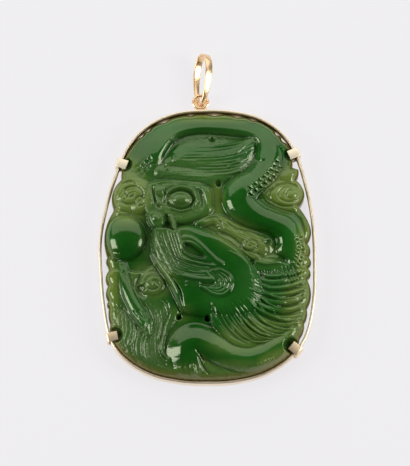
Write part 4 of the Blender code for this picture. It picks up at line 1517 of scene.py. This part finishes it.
        # Painted reflection of the gold band: strongest at the very edge and towards the head and the foot.
        relief.rim = np.clip(1 - inside * self.rim_rounding / self.rim_reflection_width, 0, 1)
        ends = np.clip((np.abs(y) - self.rim_reflection_from) / self.rim_reflection_blend, 0, 1)
        relief.rim *= self.rim_reflection_least + self.rim_reflection_gain * ends
        seat = self.setting.top - self.solder_gap
        for angle in self.setting.claw_angles:
            place, out = self.setting.at(angle)
            away = np.linalg.norm(points - (place - out * self.seat_reach / 2), axis=1)
            z = np.minimum(z, seat + self.seat_slope * np.maximum(away - self.seat_width, 0))
        return z, relief

    def groove_shading(self, z: np.ndarray, faces: list[list[int]]) -> np.ndarray:
        """Finds how deep each point lies between its neighbours, in fine grooves and in broad valleys, for
        the shade painted there.

        Args:
            z: The front's heights.
            faces: The front's triangles.

        Returns:
            From 0 on open ground to 1 at the bottom of a groove: the share of painted shade.
        """
        corners = np.array(faces)
        first = np.concatenate([corners[:, 0], corners[:, 1], corners[:, 2]])
        second = np.concatenate([corners[:, 1], corners[:, 2], corners[:, 0]])
        count = np.bincount(first, minlength=len(z)) + np.bincount(second, minlength=len(z))
        level = z.copy()
        depth = np.zeros(len(z))
        for done in range(1, self.valley_passes + 1):
            total = np.bincount(first, level[second], len(z)) + np.bincount(second, level[first], len(z))
            level = total / count
            if done == self.groove_passes:
                depth += np.clip((level - z) / self.groove_depth, *self.groove_limits)
        depth += np.clip((level - z) / self.valley_depth, *self.valley_limits)
        return np.clip(depth, 0, self.groove_shade_limit)

    def build(self) -> bpy.types.Object:
        """Makes the stone.

        Returns:
            The finished piece.
        """
        edge = self.edge()
        grid = self.grid(edge)
        flat = np.vstack([edge, grid])
        faces = self.triangles(edge, grid)
        z, relief = self.carve(flat, edge)
        # How much painted shade each point of the front gets, from how deep it lies.
        groove_shade = self.groove_shading(z, faces)
        count = len(edge)
        back = edge * (1 - self.back_chamfer / np.linalg.norm(edge, axis=1)[:, None])
        chamfer = np.column_stack([edge, np.full(count, self.back_chamfer)])
        points = np.vstack([np.column_stack([flat, z]), chamfer, np.column_stack([back, np.zeros(count)])])
        first, last = len(flat), len(flat) + count
        for i in range(count):
            j = (i + 1) % count
            faces.append([i, first + i, first + j, j])
            faces.append([first + i, last + i, last + j, first + j])
        faces += [[last + k for k in face] for face in self.triangles(back, np.empty((0, 2)))]
        stone = make_piece("carved_jade", points * MM, faces, self.finish.build())
        # Olive and frost are the stone's own tones; the rim mark is painted reflection and the groove mark
        # is painted shade.
        tones = (("olive", relief.olive), ("frost", relief.frost), ("rim", relief.rim), ("groove_shade", groove_shade))
        for name, values in tones:
            mark(stone, name, np.concatenate([values, values[:count], values[:count]]))
        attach(stone, "root")
        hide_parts("jade_plaque")
        return stone


class WireTree:
    """A Geometry Nodes tree that draws gold strip along a path: a rounded oblong, swept and dressed."""

    def __init__(self) -> None:
        """Builds the tree with its named inputs."""
        tree = bpy.data.node_groups.new("drawn_strip", "GeometryNodeTree")
        face = tree.interface
        face.new_socket("Path", in_out="INPUT", socket_type="NodeSocketGeometry")
        self.sockets = {
            name: face.new_socket(name, in_out="INPUT", socket_type=kind).identifier
            for name, kind in (
                ("Wall", "NodeSocketFloat"), ("Depth", "NodeSocketFloat"), ("Corner", "NodeSocketFloat"),
                ("Segments", "NodeSocketInt"), ("Gold", "NodeSocketMaterial"),
            )
        }
        face.new_socket("Strip", in_out="OUTPUT", socket_type="NodeSocketGeometry")
        nodes, links = tree.nodes, tree.links
        inputs = nodes.new("NodeGroupInput")
        oblong = nodes.new("GeometryNodeCurvePrimitiveQuadrilateral")
        links.new(inputs.outputs["Wall"], oblong.inputs["Width"])
        links.new(inputs.outputs["Depth"], oblong.inputs["Height"])
        fillet = nodes.new("GeometryNodeFilletCurve")
        fillet.mode = "POLY"
        links.new(oblong.outputs[0], fillet.inputs["Curve"])
        links.new(inputs.outputs["Segments"], fillet.inputs["Count"])
        links.new(inputs.outputs["Corner"], fillet.inputs["Radius"])
        fillet.inputs["Limit Radius"].default_value = True
        upright = nodes.new("GeometryNodeSetCurveNormal")
        upright.mode = "Z_UP"
        links.new(inputs.outputs["Path"], upright.inputs["Curve"])
        sweep = nodes.new("GeometryNodeCurveToMesh")
        links.new(upright.outputs[0], sweep.inputs["Curve"])
        links.new(fillet.outputs[0], sweep.inputs["Profile Curve"])
        smooth = nodes.new("GeometryNodeSetShadeSmooth")
        links.new(sweep.outputs[0], smooth.inputs["Geometry"])
        real = nodes.new("GeometryNodeRealizeInstances")
        links.new(smooth.outputs[0], real.inputs["Geometry"])
        dress = nodes.new("GeometryNodeSetMaterial")
        links.new(real.outputs[0], dress.inputs["Geometry"])
        links.new(inputs.outputs["Gold"], dress.inputs["Material"])
        outputs = nodes.new("NodeGroupOutput")
        links.new(dress.outputs[0], outputs.inputs["Strip"])
        self.tree = tree

    def draw(self, name: str, path: np.ndarray, wall: float, depth: float, corner: float,
             material: bpy.types.Material) -> bpy.types.Object:
        """Draws a closed strip along a path.

        Args:
            name: The piece's name.
            path: The closed path's points, in metres.
            wall: The strip's thickness.
            depth: The strip's depth along Z.
            corner: The rounding of its four edges.
            material: The gold.

        Returns:
            A plain mesh piece.
        """
        data = bpy.data.curves.new(name + "_path", "CURVE")
        data.dimensions = "3D"
        spline = data.splines.new("POLY")
        spline.points.add(len(path) - 1)
        spline.points.foreach_set("co", np.column_stack([path, np.ones(len(path))]).ravel())
        spline.use_cyclic_u = True
        host = bpy.data.objects.new(name + "_path", data)
        bpy.context.scene.collection.objects.link(host)
        modifier = host.modifiers.new("strip", "NODES")
        modifier.node_group = self.tree
        values = {"Wall": wall, "Depth": depth, "Corner": corner, "Segments": 4, "Gold": material}
        for socket, value in values.items():
            modifier[self.sockets[socket]] = value
        graph = bpy.context.evaluated_depsgraph_get()
        mesh = bpy.data.meshes.new_from_object(host.evaluated_get(graph))
        mesh.name = name
        host.modifiers.remove(modifier)
        bpy.data.objects.remove(host, do_unlink=True)
        shape = bmesh.new()
        shape.from_mesh(mesh)
        bmesh.ops.remove_doubles(shape, verts=shape.verts, dist=1e-7)
        bmesh.ops.recalc_face_normals(shape, faces=shape.faces)
        shape.to_mesh(mesh)
        shape.free()
        piece = bpy.data.objects.new(name, mesh)
        bpy.context.scene.collection.objects.link(piece)
        return piece


def strip_ring(centre: np.ndarray, through: np.ndarray, across: np.ndarray, thick: float, wide: float,
               corner: float) -> np.ndarray:
    """Makes one rounded oblong section of a bent strip.

    Args:
        centre: The section's middle.
        through: The direction of the strip's thickness.
        across: The direction of its width.
        thick: The thickness.
        wide: The width.
        corner: The rounding of its edges.

    Returns:
        The section's corners.
    """
    points = []
    for su, sv, start in ((1, 1, 0), (-1, 1, 90), (-1, -1, 180), (1, -1, 270)):
        for step in range(4):
            a = math.radians(start + 30 * step)
            u = su * (thick / 2 - corner) + corner * math.cos(a)
            v = sv * (wide / 2 - corner) + corner * math.sin(a)
            points.append(centre + through * u + across * v)
    return np.array(points)


def strip_faces(stations: int, corners: int, closed: bool) -> list[list[int]]:
    """Joins the sections of a bent strip.

    Args:
        stations: How many sections there are.
        corners: How many corners each has.
        closed: Whether the last section meets the first, instead of both being capped.

    Returns:
        The faces.
    """
    faces = []
    for i in range(stations if closed else stations - 1):
        j = (i + 1) % stations
        for k in range(corners):
            m = (k + 1) % corners
            faces.append([i * corners + k, i * corners + m, j * corners + m, j * corners + k])
    if not closed:
        faces.append(list(range(corners)))
        faces.append(list(range((stations - 1) * corners, stations * corners)))
    return faces


@dataclass
class Band:
    """The upright gold strip bent round the stone."""

    setting: Setting
    finish: GoldFinish
    corner: float = 0.25
    stations: int = 420
    inset: float = 0.02

    def build(self, tree: WireTree) -> bpy.types.Object:
        """Makes the band.

        Args:
            tree: The tree that draws strip.

        Returns:
            The finished piece.
        """
        inner = evenly(self.setting.line(), self.stations)
        middle = inner + outward(inner) * (self.setting.wall / 2 - self.inset)
        height = (self.setting.bottom + self.setting.top) / 2
        path = np.column_stack([middle, np.full(len(middle), height)]) * MM
        wall, depth = self.setting.wall * MM, (self.setting.top - self.setting.bottom) * MM
        band = tree.draw("gold_band", path, wall, depth, self.corner * MM, self.finish.build())
        self.mark_shaded_inside(band, middle)
        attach(band, "root")
        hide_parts("frame_band")
        return band

    def mark_shaded_inside(self, band: bpy.types.Object, middle: np.ndarray) -> None:
        """Marks the wall that faces the stone, where the finish paints shade.

        Args:
            band: The drawn band.
            middle: The middle line of its wall, in millimetres.
        """
        points = np.array([v.co[:] for v in band.data.vertices]) / MM
        apart = points[:, None, :2] - middle[None]
        near = np.argmin((apart**2).sum(2), axis=1)
        out = (apart[np.arange(len(points)), near] * outward(middle)[near]).sum(1)
        inside = (out < -self.setting.wall / 4) & (points[:, 2] < self.setting.top - self.corner)
        mark(band, "inside", inside)


@dataclass
class HangingRing:
    """The small closed wire ring on top of the band."""

    finish: GoldFinish
    stations: int = 72
    fullness: float = 1.06
    roundness: float = 0.96

    def centre(self) -> np.ndarray:
        """The ring's middle, in metres."""
        low, high = (np.array(corner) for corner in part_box("hanging_ring"))
        return (low + high) / 2

    def build(self, tree: WireTree) -> bpy.types.Object:
        """Makes the ring.

        Args:
            tree: The tree that draws strip.

        Returns:
            The finished piece.
        """
        low, high = (np.array(corner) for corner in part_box("hanging_ring"))
        wire = (high - low)[2] * self.fullness
        middle = (high - low)[0] / 2 - wire / 2
        a = 2 * np.pi * np.arange(self.stations) / self.stations
        path = self.centre() + middle * np.column_stack([np.cos(a), np.sin(a), np.zeros_like(a)])
        ring = tree.draw("top_ring", path, wire, wire, wire / 2 * self.roundness, self.finish.build())
        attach(ring, "root")
        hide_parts("hanging_ring")
        return ring


@dataclass
class Bail:
    """The tapered strip bent into a drop-shaped loop through the ring."""

    finish: GoldFinish
    length: float = 0.0100
    depth: float = 0.0049
    wall: float = 0.00045
    strip_width: float = 0.0016
    strip_narrow: float = 0.0009
    widening: float = 1.6
    foot_share: float = 0.62
    turn: float = math.radians(33.0)
    lean: float = math.radians(4.5)
    floor_gap: float = 0.00005
    corner: float = 0.00017
    stations: int = 120

    def sections(self, centre: np.ndarray, slope: float) -> np.ndarray:
        """Makes the cross sections round the loop.

        Args:
            centre: The ring's middle.
            slope: How steeply the loop leaves the ring.

        Returns:
            The sections' corners.
        """
        along = np.array((math.sin(self.lean), math.cos(self.lean), slope))
        along = along / np.linalg.norm(along)
        over = np.array((math.cos(self.turn), 0.0, -math.sin(self.turn)))
        over = over - along * (over @ along)
        over = over / np.linalg.norm(over)
        through = np.cross(over, along)
        start = centre - along * self.wall
        t = 2 * np.pi * np.arange(self.stations) / self.stations
        rise = (1 - np.cos(t)) / 2
        swell = self.foot_share + (1 - self.foot_share) * rise
        line = np.column_stack([self.length * rise, self.depth / 2 * np.sin(t) * swell])
        tangent = np.roll(line, -1, axis=0) - np.roll(line, 1, axis=0)
        normal = np.column_stack([-tangent[:, 1], tangent[:, 0]])
        normal = normal / np.linalg.norm(normal, axis=1)[:, None]
        rings = []
        for i in range(self.stations):
            share = min(1.0, self.widening * rise[i])
            wide = self.strip_narrow + (self.strip_width - self.strip_narrow) * share
            v, w = line[i] + normal[i] * self.wall / 2
            middle = start + along * v + through * w
            out = along * normal[i][0] + through * normal[i][1]
            rings.append(strip_ring(middle, out, over, self.wall, wide, self.corner))
        return np.array(rings)

    def build(self, centre: np.ndarray) -> bpy.types.Object:
        """Makes the bail.

        Args:
            centre: The ring's middle.

        Returns:
            The finished piece.
        """
        level = self.sections(centre, 0.0).reshape(-1, 3)
        reach = level[:, 1] - centre[1]
        wide = reach > self.length / 3
        slope = float(((self.floor_gap - level[wide, 2]) / reach[wide]).max())
        rings = self.sections(centre, slope)
        faces = strip_faces(self.stations, rings.shape[1], True)
        bail = make_piece("drop_bail", rings.reshape(-1, 3), faces, self.finish.build())
        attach(bail, "root")
        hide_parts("bail")
        return bail


@dataclass
class Claw:
    """A strip on the band's outside, folded over the stone's face and hooked under its back."""

    name: str
    angle: float
    width: float
    reach: float
    droop: float
    skew: float = 0.0
    thick: float = 0.42
    gap: float = 0.06
    hook_reach: float = 0.8
    hook_height: float = 0.25
    hook_thick: float = 0.3
    fold: float = 0.28
    fold_stations: int = 7
    corner: float = 0.1
    crease: float = math.radians(50.0)

    def side_line(self, setting: Setting) -> np.ndarray:
        """The strip's middle line seen from the side: places outwards and up, in millimetres.

        Args:
            setting: The band's line and heights.

        Returns:
            The line's points.
        """
        out = setting.wall + self.gap + self.thick / 2
        top = setting.top + self.gap + self.thick / 2
        foot = self.hook_height
        corners = [(-self.hook_reach, foot), (out, foot), (out, top), (-self.reach, top - self.droop)]
        points = [np.array(corners[0])]
        for before, corner, after in zip(corners[:-2], corners[1:-1], corners[2:]):
            b, c, d = np.array(before), np.array(corner), np.array(after)
            into = (c - b) / np.linalg.norm(c - b)
            away = (d - c) / np.linalg.norm(d - c)
            for t in np.linspace(0, 1, self.fold_stations):
                p, q, r = c - into * self.fold, c, c + away * self.fold
                points.append((1 - t) ** 2 * p + 2 * t * (1 - t) * q + t * t * r)
        points.append(np.array(corners[-1]))
        return np.array(points)

    def build(self, setting: Setting, material: bpy.types.Material) -> bpy.types.Object:
        """Makes the claw.

        Args:
            setting: The band's line and heights.
            material: The gold.

        Returns:
            The finished piece.
        """
        place, out = setting.at(self.angle)
        a = math.radians(self.skew)
        out = np.array(((math.cos(a), -math.sin(a)), (math.sin(a), math.cos(a)))) @ out
        along = np.array((-out[1], out[0], 0.0))
        line = self.side_line(setting)
        tangent = np.gradient(line, axis=0)
        tangent = tangent / np.linalg.norm(tangent, axis=1)[:, None]
        rings = []
        for i, ((n, z), (tn, tz)) in enumerate(zip(line, tangent)):
            centre = np.array((*(place + out * n), z))
            through = np.array((*(out * tz), -tn))
            thick = self.thick if i > 1 else self.hook_thick
            rings.append(strip_ring(centre, through, along, thick, self.width, self.corner))
        rings = np.array(rings)
        faces = strip_faces(len(rings), rings.shape[1], False)
        claw = make_piece("folded_" + self.name, rings.reshape(-1, 3) * MM, faces, material)
        claw.data.set_sharp_from_angle(angle=self.crease)
        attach(claw, "root")
        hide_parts(self.name)
        return claw


@dataclass
class Softbox:
    """One flat lamp that looks at the pendant."""

    name: str
    place: tuple[float, float, float]
    width: float
    height: float
    radiance: float
    tint: tuple[float, float, float]
    aim: tuple[float, float, float] = (0.0, 0.0, 0.0)

    def build(self) -> bpy.types.Object:
        """Makes the lamp.

        Returns:
            The lamp's object.
        """
        data = bpy.data.lights.new(self.name, "AREA")
        data.shape = "RECTANGLE"
        data.size = self.width
        data.size_y = self.height
        data.color = self.tint
        data.energy = self.radiance * math.pi * self.width * self.height
        lamp = bpy.data.objects.new(self.name, data)
        lamp.location = self.place
        look = Vector(self.aim) - Vector(self.place)
        lamp.rotation_euler = look.to_track_quat("-Z", "Y").to_euler()
        bpy.context.scene.collection.objects.link(lamp)
        return lamp


@dataclass
class Studio:
    """The pale table, lit faintly from below, the soft lamps and the camera."""

    floor_tone: Colour = (0.16, 0.16, 0.17, 1.0)
    glow_tone: Colour = (1.0, 0.985, 1.01, 1.0)
    glow: float = 0.72
    overhead: float = 0.03
    tilt: float = math.radians(14.0)
    distance: float = 0.45
    aim: tuple[float, float, float] = (-0.0005, 0.00309, 0.0035)
    lens: float = 173.8
    table_half: float = 1.5
    table_roughness: float = 0.9
    lamps: tuple[Softbox, ...] = (
        Softbox("panel_behind", (0.0, 0.4175, 0.326), 1.44, 0.563, 1.35, (1.0, 0.98, 0.9)),
        Softbox("strip_left", (-0.52, -0.06, 0.3), 0.25, 0.36, 7.5, (1.0, 1.0, 0.93)),
        Softbox("strip_right", (0.52, -0.06, 0.3), 0.25, 0.36, 7.5, (1.0, 1.0, 0.93)),
    )

    def build(self) -> None:
        """Makes the floor, the lamps, the world and the camera."""
        scene = bpy.context.scene
        scene.view_settings.view_transform = "Standard"
        scene.view_settings.look = "None"
        world = bpy.data.worlds.new("dim_room")
        world.use_nodes = True
        world.node_tree.nodes["Background"].inputs[0].default_value = (1.0, 1.0, 1.0, 1.0)
        world.node_tree.nodes["Background"].inputs[1].default_value = self.overhead
        scene.world = world
        for lamp in self.lamps:
            lamp.build()
        self.floor()
        self.camera()

    def floor(self) -> None:
        """Makes the plain pale table."""
        mesh = bpy.data.meshes.new("table_top")
        half = self.table_half
        corners = [(-half, -half, 0.0), (half, -half, 0.0), (half, half, 0.0), (-half, half, 0.0)]
        mesh.from_pydata(corners, [], [(0, 1, 2, 3)])
        table = bpy.data.objects.new("table_top", mesh)
        material = bpy.data.materials.new("pale_table")
        material.use_nodes = True
        shader = material.node_tree.nodes["Principled BSDF"]
        shader.inputs["Base Color"].default_value = self.floor_tone
        shader.inputs["Roughness"].default_value = self.table_roughness
        shader.inputs["Specular IOR Level"].default_value = 0.0
        shader.inputs["Emission Color"].default_value = self.glow_tone
        shader.inputs["Emission Strength"].default_value = self.glow
        mesh.materials.append(material)
        bpy.context.scene.collection.objects.link(table)

    def camera(self) -> None:
        """Makes the camera, which looks down on the pendant from a little below its foot."""
        data = bpy.data.cameras.new("camera")
        data.lens = self.lens
        data.clip_start = 0.01
        data.clip_end = 10.0
        camera = bpy.data.objects.new("camera", data)
        aim = Vector(self.aim)
        back = Vector((0.0, -math.sin(self.tilt), math.cos(self.tilt)))
        camera.location = aim + back * self.distance
        camera.rotation_mode = "QUATERNION"
        camera.rotation_quaternion = (-back).to_track_quat("-Z", "Y")
        bpy.context.scene.collection.objects.link(camera)
        bpy.context.scene.camera = camera


def main() -> None:
    """Builds the pendant piece by piece, then the studio round it."""
    logging.basicConfig(level=logging.INFO, format="%(message)s")
    setting = Setting()
    stone = JadePlaque(setting).build()
    log.info("%s: %d faces", stone.name, len(stone.data.polygons))
    bright = GoldFinish("bright_gold", Polish.BRIGHT, (0.98, 0.7, 0.43, 1.0))
    # The band's inner wall gets a painted dark brown shade and stone reflection.
    cream = GoldFinish("cream_gold", Polish.SATIN, (1.0, 0.86, 0.68, 1.0), (0.4, 0.25, 0.04, 1.0))
    warm = GoldFinish("warm_gold", Polish.SATIN, (1.0, 0.8, 0.56, 1.0))
    # Painted highlight: the upper claws get this paler copy of the gold because the lamps light them more
    # strongly than the lower ones.
    pale = GoldFinish("lit_pale_gold", Polish.SATIN, (0.98, 0.88, 0.7, 1.0))
    tree = WireTree()
    ring = HangingRing(bright)
    pieces = [Band(setting, cream).build(tree), ring.build(tree), Bail(bright).build(ring.centre())]
    upper_right, upper_left, lower_left, lower_right = setting.claw_angles
    claws = (
        (Claw("claw_upper_right", upper_right, width=1.9, reach=1.33, droop=-0.28), pale),
        (Claw("claw_upper_left", upper_left, width=1.9, reach=1.33, droop=-0.28), pale),
        (Claw("claw_lower_left", lower_left, width=1.8, reach=1.28, droop=-0.2, skew=-8.0), warm),
        (Claw("claw_lower_right", lower_right, width=2.0, reach=1.23, droop=-0.36), warm),
    )
    for claw, finish in claws:
        pieces.append(claw.build(setting, finish.build()))
    for piece in pieces:
        log.info("%s: %d faces", piece.name, len(piece.data.polygons))
    Studio().build()


if __name__ == "__main__":
    main()
